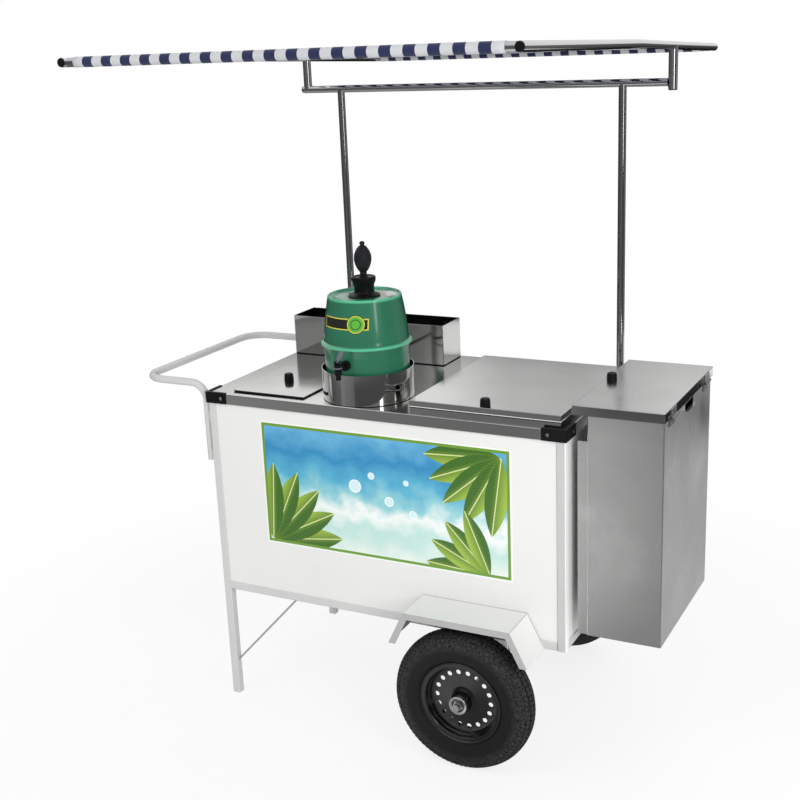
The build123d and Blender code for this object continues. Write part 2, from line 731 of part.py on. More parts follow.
ice_hinge_x = (ice_lid_left + ice_hinge_inset, ice_lid_right - ice_hinge_inset)
ice_places = [Pos(x, ice_coaming_rear, ice_lid_bottom) for x in ice_hinge_x]
bin_hinge_y = (bin_front + bin_hinge_inset, bin_rear - bin_hinge_inset)
bin_places = [Pos(bin_right, y, bin_lid_bottom) * Rot(0, 0, -90) for y in bin_hinge_y]
ice_base, ice_flap, ice_pin = hinge(ice_lid_overhang, ice_hinge_leaf)
bin_base, bin_flap, bin_pin = hinge(bin_lid_over_right, bin_hinge_leaf)
base_leaves = [place * ice_base for place in ice_places] + [place * bin_base for place in bin_places]
hinge_pins = [place * ice_pin for place in ice_places] + [place * bin_pin for place in bin_places]
nodes["lid_hinge_base_leaves"] = group(*base_leaves)
nodes["lid_hinge_pins"] = group(*hinge_pins)
nodes["ice_lid_hinge_leaves"] = group(*[place * ice_flap for place in ice_places])
nodes["bin_lid_hinge_leaves"] = group(*[place * bin_flap for place in bin_places])

# Wheel pieces about Z, with +Z pointing away from the cart
tyre_half = tyre_width / 2
bead_radius = rim_radius + bead_gap
flange_clear = rim_flange_radius + bead_gap
bulge_radius = (flange_clear + wheel_radius) / 2
shoulder_radius = wheel_radius - tread_crown


def tyre():
    tread_half = tread_width / 2
    inner_half = bead_half_width - bead_width
    inner_crown = wheel_radius - tread_wall
    inner_shoulder = shoulder_radius - tyre_wall
    outline = []
    for end in (-1, 1):
        outline.append(Line((bead_radius, end * inner_half), (bead_radius, end * bead_half_width)))
        outline.append(Line((bead_radius, end * bead_half_width), (flange_clear, end * bead_half_width)))
        outline.append(ThreePointArc((flange_clear, end * bead_half_width), (bulge_radius, end * tyre_half),
                                     (shoulder_radius, end * tread_half)))
        outline.append(ThreePointArc((bead_radius, end * inner_half),
                                     (bulge_radius, end * (tyre_half - tyre_wall)),
                                     (inner_shoulder, end * (tread_half - tyre_wall))))
    outline.append(ThreePointArc((shoulder_radius, -tread_half), (wheel_radius, 0),
                                 (shoulder_radius, tread_half)))
    outline.append(ThreePointArc((inner_shoulder, tyre_wall - tread_half), (inner_crown, 0),
                                 (inner_shoulder, tread_half - tyre_wall)))
    return turned(outline)


def rim():
    seat = bead_half_width + bead_gap
    barrel = stack(-seat - rim_sheet, seat + rim_sheet, rim_radius)
    for end in (-1, 1):
        barrel += stack(*span(end * seat, end * (seat + rim_sheet)), rim_flange_radius)
    barrel -= stack(-seat - rim_sheet, seat + rim_sheet, rim_radius - rim_sheet)
    disc_low, disc_high = grow((rim_disc_offset, rim_disc_offset), rim_sheet / 2)
    disc = stack(disc_low, disc_high, rim_radius - rim_sheet / 2)
    body = barrel + disc + stack(-hub_inner, hub_outer, hub_radius)
    for turn in range(rim_hole_count):
        angle = 2 * math.pi * turn / rim_hole_count
        x = rim_hole_circle * math.cos(angle)
        y = rim_hole_circle * math.sin(angle)
        body -= rod((x, y, disc_low), (x, y, disc_high), rim_hole_radius)
    body -= stack(-hub_inner, hub_outer, axle_collar_radius)
    body -= stack(-hub_inner, -hub_inner + bearing_width, bearing_radius + seat_gap)
    body -= stack(hub_outer - bearing_width, hub_outer, bearing_radius + seat_gap)
    return body


def bearings():
    rings = []
    for low in (-hub_inner, hub_outer - bearing_width):
        ring = stack(low, low + bearing_width, bearing_radius)
        rings.append(ring - stack(low, low + bearing_width, axle_radius + axle_clearance))
    return group(*rings)


def axle_end():
    washer_low = hub_outer + bead_gap
    nut_low = washer_low + washer_thickness
    nut_high = nut_low + nut_height
    bore = stack(washer_low, nut_high, axle_radius + axle_clearance)
    washer = stack(washer_low, nut_low, washer_radius) - bore
    castle_nut = extrude(Pos(0, 0, nut_low) * RegularPolygon(nut_radius, 6), amount=nut_height) - bore
    pin_z = nut_high + split_pin_radius + bead_gap
    pin = rod((0, -split_pin_length / 2, pin_z), (0, split_pin_length / 2, pin_z), split_pin_radius)
    return washer, castle_nut, pin


axle_outer = hub_outer + bead_gap + washer_thickness + nut_height + axle_stub
pin_level = hub_outer + bead_gap * 2 + washer_thickness + nut_height + split_pin_radius
wheel_places = {end: Pos(wheel_x, end * wheel_y, wheel_radius) * Rot(-end * 90, 0, 0) for end in (-1, 1)}
for end, name in ((-1, "front"), (1, "rear")):
    nodes[name + "_tyre"] = wheel_places[end] * tyre()
    nodes[name + "_wheel_rim"] = wheel_places[end] * rim()
    nodes[name + "_wheel_bearings"] = wheel_places[end] * bearings()

# Axle with its collars, end fasteners and hangers
axle_end_y = wheel_y + axle_outer
axle = rod((wheel_x, -axle_end_y, wheel_radius), (wheel_x, axle_end_y, wheel_radius), axle_radius)
for end in (-1, 1):
    inner_y = end * (wheel_y - hub_inner - bead_gap)
    collar_start = (wheel_x, inner_y - end * axle_collar_width, wheel_radius)
    axle += rod(collar_start, (wheel_x, inner_y, wheel_radius), axle_collar_radius)
    hole_y = end * (wheel_y + pin_level)
    axle -= rod((wheel_x, hole_y, wheel_radius - axle_radius), (wheel_x, hole_y, wheel_radius + axle_radius),
                split_pin_radius + axle_clearance)
nodes["axle"] = axle
fasteners = [wheel_places[end] * piece for end in (-1, 1) for piece in axle_end()]
nodes["axle_end_fasteners"] = group(*fasteners)


def hanger(end):
    x = grow((wheel_x, wheel_x), hanger_width / 2)
    y = grow((end * hanger_spread, end * hanger_spread), hanger_thickness / 2)
    plate = block(x, y, (wheel_radius - hanger_below, body_bottom))
    bore = rod((wheel_x, y[0], wheel_radius), (wheel_x, y[1], wheel_radius), axle_radius + seat_gap)
    return plate - bore


nodes["axle_hangers"] = group(hanger(-1), hanger(1))


# Folded fenders, front and rear
def fender(end):
    def fold(inset):
        # Fender line moved inwards by a thickness, kept square to each of its three flats
        rise = fender_top - fender_foot
        run = (fender_foot_length - fender_top_length) / 2
        slope = math.hypot(rise, run)
        top_half = fender_top_length / 2 - inset * (slope - run) / rise
        foot_half = fender_foot_length / 2 - inset * slope / rise
        return [(-foot_half, fender_foot), (-top_half, fender_top - inset), (top_half, fender_top - inset),
                (foot_half, fender_foot)]

    def band(inset, near, far):
        outline = Polyline(*fold(0), *reversed(fold(inset)), close=True)
        sheet = Plane(origin=(wheel_x, near, 0), x_dir=(1, 0, 0), z_dir=(0, -1, 0)) * make_face(outline)
        return extrude(sheet, amount=near - far)

    shape = band(fender_sheet, -panel_y, -fender_y) + band(fender_lip, -fender_y + fender_sheet, -fender_y)
    rail_x = grow((wheel_x, wheel_x), fender_foot_length / 2)
    shape -= block(rail_x, (-half_y, -panel_y), (fender_foot, floor_level))
    return shape if end < 0 else mirror(shape, Plane.XZ)


nodes["front_fender"] = fender(-1)
nodes["rear_fender"] = fender(1)


# Thin rods that brace the legs to the bottom frame
def brace(end):
    leg_face = -half_x + frame_tube
    y = end * post_middle_y
    way = Vector(brace_run, 0, body_bottom - brace_low)
    low = Vector(leg_face, y, brace_low) - way * 0.1
    high = Vector(leg_face + brace_run, y, body_bottom) + way * 0.1
    bar = rod(tuple(low), tuple(high), brace_radius)
    room_y = grow((y, y), brace_radius * 2)
    room = block((leg_face, leg_face + brace_run * 2), room_y, (0, body_bottom))
    return bar & room


nodes["leg_braces"] = group(brace(-1), brace(1))

# Push handle: one bent tube with welded tabs on the legs
handle_x = -(half_length + protector_wall + lip_gap + handle_tube / 2)
handle_points = [(handle_x, -handle_y, handle_leg_bottom), (handle_x, -handle_y, handle_height),
                 (-handle_reach, -handle_y, handle_height), (-handle_reach, handle_y, handle_height),
                 (handle_x, handle_y, handle_height), (handle_x, handle_y, handle_leg_bottom)]
handle_path = FilletPolyline(*handle_points, radius=[handle_bend, handle_corner, handle_corner, handle_bend])
handle_start = Plane(origin=handle_points[0], z_dir=(0, 0, 1))
handle_outer = sweep(handle_start * Circle(handle_tube / 2), path=handle_path)
handle_bore = sweep(handle_start * Circle(handle_tube / 2 - handle_wall), path=handle_path)
handle_body = handle_outer
for end in (-1, 1):
    tab_y = grow((end * handle_y, end * handle_y), handle_tab_width / 2)
    for tab_low in (handle_leg_bottom, lip_bottom - protector_drop - handle_tab_height * 2):
        handle_body += block((handle_x, -half_x), tab_y, (tab_low, tab_low + handle_tab_height))
nodes["handle"] = handle_body - handle_bore


# Sockets on the rear panel that hold the canopy's poles, with thumbscrews
def socket(x):
    inner = tube_radius + socket_clearance
    outer = inner + socket_wall
    level = (socket_bottom, socket_top)
    bore = rod((x, pole_y, socket_bottom + socket_floor), (x, pole_y, socket_top), inner)
    plate = block(grow((x, x), socket_plate / 2), (panel_y, panel_y + socket_stand), level)
    web = block(grow((x, x), inner / 2), (panel_y, pole_y), level)
    screw_z = socket_top - thumbscrew_drop
    screw_hole = rod((x, pole_y, screw_z), (x, pole_y + outer, screw_z), thumbscrew_radius + axle_clearance)
    tube = rod((x, pole_y, socket_bottom), (x, pole_y, socket_top), outer)
    return tube + plate + web - bore - screw_hole


def thumbscrew(x):
    screw_z = socket_top - thumbscrew_drop
    tip = pole_y + tube_radius + tip_gap
    head = tip + thumbscrew_length - thumbscrew_head
    return rod((x, tip, screw_z), (x, head, screw_z), thumbscrew_radius) + rod(
        (x, head, screw_z), (x, tip + thumbscrew_length, screw_z), thumbscrew_head)


nodes["pole_sockets"] = group(socket(pole_left_x), socket(pole_right_x))
nodes["pole_thumbscrews"] = group(thumbscrew(pole_left_x), thumbscrew(pole_right_x))

# Poles, each welded to its half of the cross rail
bore_radius = tube_radius - tube_wall
pole_foot = socket_bottom + socket_floor
rail_left = side_left_x - rail_left_end
rail_right = side_right_x - post_radius - weld_gap


def pole(x, near, far):
    upright = rod((x, pole_y, pole_foot), (x, pole_y, rail_height), tube_radius)
    rail = rod((near, pole_y, rail_height), (far, pole_y, rail_height), tube_radius)
    upright_bore = rod((x, pole_y, pole_foot), (x, pole_y, rail_height), bore_radius)
    rail_bore = rod((near, pole_y, rail_height), (far, pole_y, rail_height), bore_radius)
    return upright + rail - upright_bore - rail_bore


nodes["pole_left"] = pole(pole_left_x, rail_left, rail_joint_x)
right_pole = pole(pole_right_x, rail_joint_x + weld_gap, rail_right)
spigot_start = (rail_joint_x - spigot_length, pole_y, rail_height)
spigot_end = (rail_joint_x + spigot_length, pole_y, rail_height)
spigot_radius = bore_radius - weld_gap
spigot = pipe(spigot_start, spigot_end, spigot_radius, tube_wall)
seat_start = (rail_joint_x + weld_gap, pole_y, rail_height)
seat = pipe(seat_start, spigot_end, tube_radius - tube_wall / 2, tube_wall)
nodes["pole_right"] = right_pole + seat + spigot


def side_height(y):
    # Middle line of a side tube, bent over the middle of the cart
    end = side_front_height if y < 0 else side_rear_height
    return side_middle_height + (end - side_middle_height) * abs(y) / side_half_length


# Bent side tubes, each with a short post welded under it
def side_frame(x, post):
    points = [(x, -side_half_length, side_front_height), (x, 0, side_middle_height),
              (x, side_half_length, side_rear_height)]
    path = FilletPolyline(*points, radius=side_bend)
    start = Plane(origin=path @ 0, z_dir=path % 0)
    tube = sweep(start * Circle(tube_radius), path=path)
    bore = sweep(start * Circle(bore_radius), path=path)
    return tube + post - bore


def short_post(x, foot):
    return pipe((x, pole_y, foot), (x, pole_y, side_height(pole_y)), post_radius, tube_wall)


# The left post stands on the rail, and the right one takes the rail's end in its side
rail_room = rod((rail_left, pole_y, rail_height), (rail_joint_x, pole_y, rail_height), tube_radius + weld_gap)
left_post = short_post(side_left_x, rail_height) - rail_room
right_post = short_post(side_right_x, rail_height - post_drop)
nodes["side_frame_left"] = side_frame(side_left_x, left_post)
nodes["side_frame_right"] = side_frame(side_right_x, right_post)
cross_x = (side_left_x + tube_radius + weld_gap, side_right_x - tube_radius - weld_gap)
cross_y = side_half_length - cross_tube_inset
for end, name in ((-1, "front_tube"), (1, "rear_tube")):
    level = side_height(end * cross_y)
    start, stop = [(x, end * cross_y, level) for x in cross_x]
    nodes[name] = pipe(start, stop, tube_radius, tube_wall)


# Plastic plugs in the open tube ends
def plug_in(end, way, radius):
    base = Plane(origin=end, z_dir=way)
    head = extrude(base * Circle(radius - plug_edge), amount=plug_head)
    stem = extrude(base * Circle(radius - tube_wall - weld_gap), amount=-plug_depth)
    return head + stem


plugs = []
for x in (side_left_x, side_right_x):
    front_way = Vector(0, -side_half_length, side_front_height - side_middle_height).normalized()
    rear_way = Vector(0, side_half_length, side_rear_height - side_middle_height).normalized()
    plugs.append(plug_in((x, -side_half_length, side_front_height), front_way, tube_radius))
    plugs.append(plug_in((x, side_half_length, side_rear_height), rear_way, tube_radius))
plugs.append(plug_in((rail_left, pole_y, rail_height), (-1, 0, 0), tube_radius))
plugs.append(plug_in((side_right_x, pole_y, rail_height - post_drop), (0, 0, -1), post_radius))
nodes["tube_plugs"] = group(*plugs)

# Canopy cloth: a sleeve round the front and rear tubes and a sheet that sags between them
sleeve_inner = tube_radius + cloth_gap
sleeve_outer = sleeve_inner + cloth_thickness
cloth_x = (cross_x[0] + cloth_inset, cross_x[1] - cloth_inset)
cloth_plane = Plane(origin=(cloth_x[0], 0, 0), x_dir=(0, 1, 0), z_dir=(1, 0, 0))
tube_spots = [(end * cross_y, side_height(end * cross_y)) for end in (-1, 1)]


def cloth_line(offset):
    # Sagging line between the tops of the two sleeves
    start, end = [(y, z + sleeve_inner + offset) for y, z in tube_spots]
    middle = ((start[0] + end[0]) / 2, (start[1] + end[1]) / 2 - cloth_sag)
    return ThreePointArc(start, middle, end)


lower_line = cloth_line(0)
upper_line = cloth_line(cloth_thickness)
ends = [Line(lower_line @ t, upper_line @ t) for t in (0, 1)]
cloth_face = make_face([lower_line, ends[1], upper_line, ends[0]])
for spot in tube_spots:
    cloth_face += Pos(*spot) * Circle(sleeve_outer)
for spot in tube_spots:
    cloth_face -= Pos(*spot) * Circle(sleeve_inner)
nodes["canopy_fabric"] = extrude(cloth_plane * cloth_face, amount=cloth_x[1] - cloth_x[0])

# One file for each node
os.makedirs("parts", exist_ok=True)
for name, shape in nodes.items():
    export_step(shape, "parts/" + name + ".step")
print(len(nodes), "nodes")
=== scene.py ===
import math

import bmesh
import bpy
from mathutils import Matrix, Vector


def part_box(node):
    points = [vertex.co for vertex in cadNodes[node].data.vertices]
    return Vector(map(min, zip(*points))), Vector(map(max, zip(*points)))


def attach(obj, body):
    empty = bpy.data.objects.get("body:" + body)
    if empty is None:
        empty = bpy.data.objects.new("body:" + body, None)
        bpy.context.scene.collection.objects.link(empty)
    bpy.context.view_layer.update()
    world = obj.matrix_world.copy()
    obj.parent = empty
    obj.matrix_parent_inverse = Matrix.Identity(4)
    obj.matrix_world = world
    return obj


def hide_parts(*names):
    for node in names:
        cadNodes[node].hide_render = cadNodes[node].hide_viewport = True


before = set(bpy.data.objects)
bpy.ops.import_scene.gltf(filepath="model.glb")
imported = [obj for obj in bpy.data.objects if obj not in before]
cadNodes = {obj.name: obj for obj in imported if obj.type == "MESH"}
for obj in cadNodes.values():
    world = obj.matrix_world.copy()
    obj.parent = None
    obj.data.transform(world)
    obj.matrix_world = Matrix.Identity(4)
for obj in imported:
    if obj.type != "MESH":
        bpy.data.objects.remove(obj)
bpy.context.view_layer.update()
print("frame:", len(cadNodes), "nodes")

millimetre = 0.001


def hexColour(code):
    # sRGB hex to the linear colour that Blender's sockets hold
    channels = [int(code[i:i + 2], 16) / 255 for i in (1, 3, 5)]
    linear = [c / 12.92 if c <= 0.04045 else ((c + 0.055) / 1.055) ** 2.4 for c in channels]
    return (*linear, 1.0)


def plug(tree, node, inputs):
    # Fills inputs: a node gives its first live output, a socket is linked, a hex code or a value is held
    for name, value in inputs.items():
        if isinstance(value, bpy.types.Node):
            value = next(socket for socket in value.outputs if socket.enabled)
        if isinstance(value, bpy.types.NodeSocket):
            tree.links.new(value, node.inputs[name])
        else:
            node.inputs[name].default_value = hexColour(value) if isinstance(value, str) else value


def addNode(tree, kind, inputs=None, stops=(), **settings):
    # A short kind is a shader node's; the other kinds are given whole
    node = tree.nodes.new(kind if "Node" in kind else "ShaderNode" + kind)
    if stops:
        marks = node.color_ramp.elements
        marks.remove(marks[0])
        marks[0].position, marks[0].color = stops[0][0], hexColour(stops[0][1])
        for position, code in stops[1:]:
            marks.new(position).color = hexColour(code)
    for name, value in settings.items():
        setattr(node, name, value)
    plug(tree, node, inputs or {})
    return node


def inside(material):
    # Tree, shader and object coordinates of a material
    tree = material.node_tree
    return tree, tree.nodes["Principled BSDF"], addNode(tree, "TexCoord").outputs["Object"]


def newMaterial(name, **sockets):
    material = bpy.data.materials.new(name)
    material.use_nodes = True
    tree, shader, coords = inside(material)
    plug(tree, shader, {socket.replace("_", " "): value for socket, value in sockets.items()})
    return material, tree, shader, coords


def feed(shader, name):
    # The socket that already feeds one of a shader's inputs
    return shader.inputs[name].links[0].from_socket


def boxMiddle(node):
    low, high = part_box(node)
    return (Vector(low) + Vector(high)) / 2


def perMetre(size):
    # Texture scale that makes a pattern's cell as wide as a size in millimetres
    return 1 / (size * millimetre)


def cloudTone(tree, coords, size, colour, shade):
    # Two close tones in soft clouds of a size in millimetres
    cloud = addNode(tree, "TexNoise", {"Vector": coords, "Scale": perMetre(size), "Detail": 3.0})
    return cloud, addNode(tree, "Mix", {"Factor": cloud, "A": colour, "B": shade}, data_type="RGBA")


def overpaint(tree, colour, layers):
    # Lays colours over a colour, each where its mask is 1
    for mask, paintOver in layers:
        colour = addNode(tree, "Mix", {"Factor": mask, "A": colour, "B": paintOver}, data_type="RGBA")
    return colour


# Painted steel

# The pure white here is painted light on the +X faces of the right posts
paint = {"peel": 1.6, "patch": 180, "roughness": 0.36, "paintedLightSide": "#FFFFFF"}


def powderCoat(name, colour, shade):
    # Semi-gloss powder coat on sheet steel: soft highlight, fine orange peel, faint cloudiness
    material, tree, shader, coords = newMaterial(name, Roughness=paint["roughness"], Coat_Weight=0.12,
                                                 Coat_Roughness=0.2)
    tone = cloudTone(tree, coords, paint["patch"], colour, shade)[1]
    peel = addNode(tree, "TexNoise", {"Vector": coords, "Scale": perMetre(paint["peel"]), "Detail": 1.0})
    bump = addNode(tree, "Bump", {"Height": peel, "Strength": 0.05, "Distance": 0.0002})
    plug(tree, shader, {"Base Color": tone, "Normal": bump})
    return material


# Lip, fold and below are painted shade on the white coat; seam is a grey line along the join with the body
# panel
fenderPaintAndShade = {"top": "#EAEAE9", "lip": "#B0B0AF", "seam": "#9A9A99", "fold": "#B5B5B4", "below": "#0E0E0E",
               "lipDepth": 1.2, "seamWidth": 2.4, "foldX": 153, "foldWidth": 0.8}


def fenderCoat():
    # The same coat, greyer along the seam, with painted shade: greyer on the edge of the lip and in the
    # folds, black on the faces that look down
    material = powderCoat("whiteFenderCoat", fenderPaintAndShade["top"], fenderPaintAndShade["top"])
    tree, shader, coords = inside(material)
    low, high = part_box("rear_fender")
    place = addNode(tree, "SeparateXYZ", {"Vector": coords}).outputs
    depth = addNode(tree, "Math", {0: place["Y"]}, operation="ABSOLUTE")
    aside = addNode(tree, "Math", {0: place["X"], 1: (low[0] + high[0]) / 2}, operation="SUBTRACT")
    across = addNode(tree, "Math", {0: aside}, operation="ABSOLUTE")
    foldX, foldHalf = fenderPaintAndShade["foldX"] * millimetre, fenderPaintAndShade["foldWidth"] * millimetre
    fold = addNode(tree, "Math", {0: across, 1: foldX, 2: foldHalf}, operation="COMPARE")
    seamPlane = low[1] + fenderPaintAndShade["seamWidth"] * millimetre
    seam = addNode(tree, "Math", {0: depth, 1: seamPlane}, operation="LESS_THAN")
    lipPlane = high[1] - fenderPaintAndShade["lipDepth"] * millimetre
    lip = addNode(tree, "Math", {0: depth, 1: lipPlane}, operation="GREATER_THAN")
    facing = addNode(tree, "NewGeometry").outputs["Normal"]
    rise = addNode(tree, "SeparateXYZ", {"Vector": facing}).outputs["Z"]
    # Faces that look down are painted black: painted shade under the fender
    under = addNode(tree, "Math", {0: rise, 1: -0.1}, operation="LESS_THAN")
    masks = {"fold": fold, "seam": seam, "lip": lip, "below": under}
    layers = [(mask, fenderPaintAndShade[part]) for part, mask in masks.items()]
    plug(tree, shader, {"Base Color": overpaint(tree, feed(shader, "Base Color"), layers)})
    return material


def postCoat():
    # The frame coat of the right posts, with painted light: white on the faces that look towards +X
    material = powderCoat("greyWhitePostCoat", "#C8C8C7", "#C1C1C0")
    tree = material.node_tree
    shader = tree.nodes["Principled BSDF"]
    facing = addNode(tree, "NewGeometry").outputs["Normal"]
    aside = addNode(tree, "SeparateXYZ", {"Vector": facing}).outputs["X"]
    paintedLightSide = addNode(tree, "MapRange", {"Value": aside, "From Min": 0.4, "From Max": 0.9})
    plug(tree, shader, {"Base Color": overpaint(tree, feed(shader, "Base Color"), [(paintedLightSide, paint["paintedLightSide"])])})
    return material


# Stainless steel and plating

steel = {"spacing": 2.5, "stroke": 400, "smudge": 160, "buckle": 95, "buckleRise": 0.05, "lip": 0.08,
         "past": 1, "clear": 2, "inside": "#A6A6A4"}
plating = {"marks": 60}


def stainlessSheet(name, colour, shade, roughness, stretch=0.0, lip=None):
    # Stainless sheet: rolled lines drawn coarser than the real 0.1 mm so that they show, faint smudges, and
    # long shallow buckles that bend what the sheet mirrors; folded lips may be brighter than the top
    material, tree, shader, coords = newMaterial(name, Metallic=1.0, Anisotropic=stretch,
                                                 Anisotropic_Rotation=0.25)
    fine, coarse = perMetre(steel["spacing"]), perMetre(steel["stroke"])
    lines = addNode(tree, "Mapping", {"Vector": coords, "Scale": (coarse, fine, fine)})
    grain = addNode(tree, "TexNoise", {"Vector": lines, "Scale": 1.0, "Detail": 4.0})
    smudge = addNode(tree, "TexNoise", {"Vector": coords, "Scale": perMetre(steel["smudge"]), "Detail": 4.0})
    tone = addNode(tree, "Mix", {"Factor": grain, "A": shade, "B": colour}, data_type="RGBA")
    sheen = addNode(tree, "MapRange", {"Value": smudge, "From Min": 0.3, "From Max": 0.7,
                                       "To Min": roughness * 0.8, "To Max": roughness * 1.25})
    if lip:
        facing = addNode(tree, "NewGeometry").outputs["Normal"]
        rise = addNode(tree, "SeparateXYZ", {"Vector": facing}).outputs["Z"]
        flat = addNode(tree, "Math", {0: rise, 1: 0.7}, operation="GREATER_THAN")
        sheen = addNode(tree, "Mix", {"Factor": flat, "A": lip, "B": sheen})
    buckle = addNode(tree, "TexNoise", {"Vector": coords, "Scale": perMetre(steel["buckle"]), "Detail": 1.0})
    wavy = addNode(tree, "Bump", {"Height": buckle, "Strength": 1.0,
                                  "Distance": steel["buckleRise"] * millimetre})
    bump = addNode(tree, "Bump", {"Height": grain, "Strength": 0.01, "Distance": 0.0001, "Normal": wavy})
    plug(tree, shader, {"Base Color": tone, "Roughness": sheen, "Normal": bump})
    if stretch:
        plug(tree, shader, {"Tangent": addNode(tree, "Tangent", direction_type="RADIAL", axis="Z")})
    return material


def edgeBand(material, low, high, code):
    # Dull band between two heights on bright sheet, used for painted highlight lines, painted shade lines and
    # the insides
    tree, shader, coords = inside(material)
    level = addNode(tree, "SeparateXYZ", {"Vector": coords}).outputs["Z"]
    band = addNode(tree, "Math", {0: level, 1: (low + high) / 2, 2: (high - low) / 2}, operation="COMPARE")
    earlier = shader.inputs["Metallic"].links
    metal = addNode(tree, "Math", {0: earlier[0].from_socket if earlier else 1.0, 1: band},
                    operation="SUBTRACT", use_clamp=True)
    dull = addNode(tree, "Math", {0: feed(shader, "Roughness"), 1: band}, operation="MAXIMUM")
    tone = overpaint(tree, feed(shader, "Base Color"), [(band, code)])
    plug(tree, shader, {"Base Color": tone, "Metallic": metal, "Roughness": dull})


def platedTube(name, colour, roughness, wear):
    # Polished plating over drawn tube: mirror sharp, with faint hand marks that dull it
    material, tree, shader, coords = newMaterial(name, Metallic=1.0, Base_Color=colour)
    marks = addNode(tree, "TexNoise", {"Vector": coords, "Scale": perMetre(plating["marks"]), "Detail": 5.0})
    gloss = addNode(tree, "MapRange", {"Value": marks, "To Min": roughness, "To Max": roughness + wear})
    plug(tree, shader, {"Roughness": gloss})
    return material


# Plastic and rubber

plastic = {"cloud": 45}


def mouldedPlastic(name, colour, shade, roughness, grain, depth, specular=0.5):
    # Injection-moulded plastic or rubber: fine spark-eroded grain and a slightly uneven sheen
    material, tree, shader, coords = newMaterial(name, Specular_IOR_Level=specular)
    pits = addNode(tree, "TexNoise", {"Vector": coords, "Scale": perMetre(grain), "Detail": 3.0})
    cloud, tone = cloudTone(tree, coords, plastic["cloud"], colour, shade)
    gloss = addNode(tree, "MapRange", {"Value": cloud, "To Min": roughness * 0.85,
                                       "To Max": roughness * 1.15})
    bump = addNode(tree, "Bump", {"Height": pits, "Strength": depth, "Distance": 0.0003})
    plug(tree, shader, {"Base Color": tone, "Roughness": gloss, "Normal": bump})
    return material


tread = {"start": 150, "full": 172, "dust": "#454546", "grain": 5}


def tyreCompound():
    # Road tyre: dark sidewall, and a tread and shoulder that dry dust has turned grey in small patches
    material = mouldedPlastic("tyreRubber", "#151516", "#1E1E1F", 0.66, 2.2, 0.25, specular=0.3)
    tree, shader, coords = inside(material)
    axis = addNode(tree, "VectorMath", {0: coords, 1: boxMiddle("front_tyre")}, operation="SUBTRACT")
    radial = addNode(tree, "VectorMath", {0: axis, 1: (1, 0, 1)}, operation="MULTIPLY")
    radius = addNode(tree, "VectorMath", {0: radial}, operation="LENGTH")
    outer = addNode(tree, "MapRange", {"Value": radius, "From Min": tread["start"] * millimetre,
                                       "From Max": tread["full"] * millimetre})
    patch = addNode(tree, "TexNoise", {"Vector": coords, "Scale": perMetre(tread["grain"]), "Detail": 3.0})
    worn = addNode(tree, "MapRange", {"Value": patch, "From Min": 0.35, "From Max": 0.7})
    share = addNode(tree, "Math", {0: outer, 1: worn}, operation="MULTIPLY")
    plug(tree, shader, {"Base Color": overpaint(tree, feed(shader, "Base Color"), [(share, tread["dust"])])})
    return material


# The edge green lightens the ridge and rim: partly a thinner wall, partly painted highlight
keg = {"colour": "#2A7658", "shade": "#246B4F", "edge": "#5CCB9B", "ridge": 158, "rim": 288, "top": 281,
       "band": 7, "cloud": 70, "segments": 128, "sharp": 40,
       "label": {"middle": 225, "height": 31, "width": 138, "shift": -8, "edge": 3, "field": "#20241C",
                 "trim": "#D9CF4A", "badge": "#5DB33C", "badgeRadius": 25, "badgeShift": 36,
                 "rings": [(0, "field"), (1.5, "trim"), (4, "badge"), (11, "field"), (13, "badge")]},
       "sticker": {"inner": 50, "outer": 88, "turn": 42, "half": 24, "bar": 61, "paper": "#E4EFE6",
                   "ink": "#B5645A", "depth": 0.8}}


def stickerLayers(tree, coords, base):
    # Plain paper sticker on the keg's top: a piece of a ring with one red bar along its inner edge
    sticker = keg["sticker"]
    centre = (boxMiddle("keg_collar").x, boxMiddle("keg_collar").y, base + keg["top"] * millimetre)
    place = addNode(tree, "Mapping", {"Vector": coords, "Location": centre,
                                      "Rotation": (0, 0, math.radians(sticker["turn"]))},
                    vector_type="TEXTURE")
    local = addNode(tree, "SeparateXYZ", {"Vector": place}).outputs
    reach = addNode(tree, "VectorMath", {0: place}, operation="LENGTH")
    turn = addNode(tree, "Math", {0: local["Y"], 1: local["X"]}, operation="ARCTAN2")
    level = addNode(tree, "Math", {0: local["Z"], 1: 0.0, 2: sticker["depth"] * millimetre},
                    operation="COMPARE")
    ahead = addNode(tree, "Math", {0: turn, 1: 0.0, 2: math.radians(sticker["half"])}, operation="COMPARE")
    flat = addNode(tree, "Math", {0: level, 1: ahead}, operation="MULTIPLY")
    layers = []
    for outer, code in ((sticker["outer"], sticker["paper"]), (sticker["bar"], sticker["ink"])):
        middle = (sticker["inner"] + outer) / 2 * millimetre
        half = (outer - sticker["inner"]) / 2 * millimetre
        band = addNode(tree, "Math", {0: reach, 1: middle, 2: half}, operation="COMPARE")
        layers.append((addNode(tree, "Math", {0: band, 1: flat}, operation="MULTIPLY"), code))
    return layers


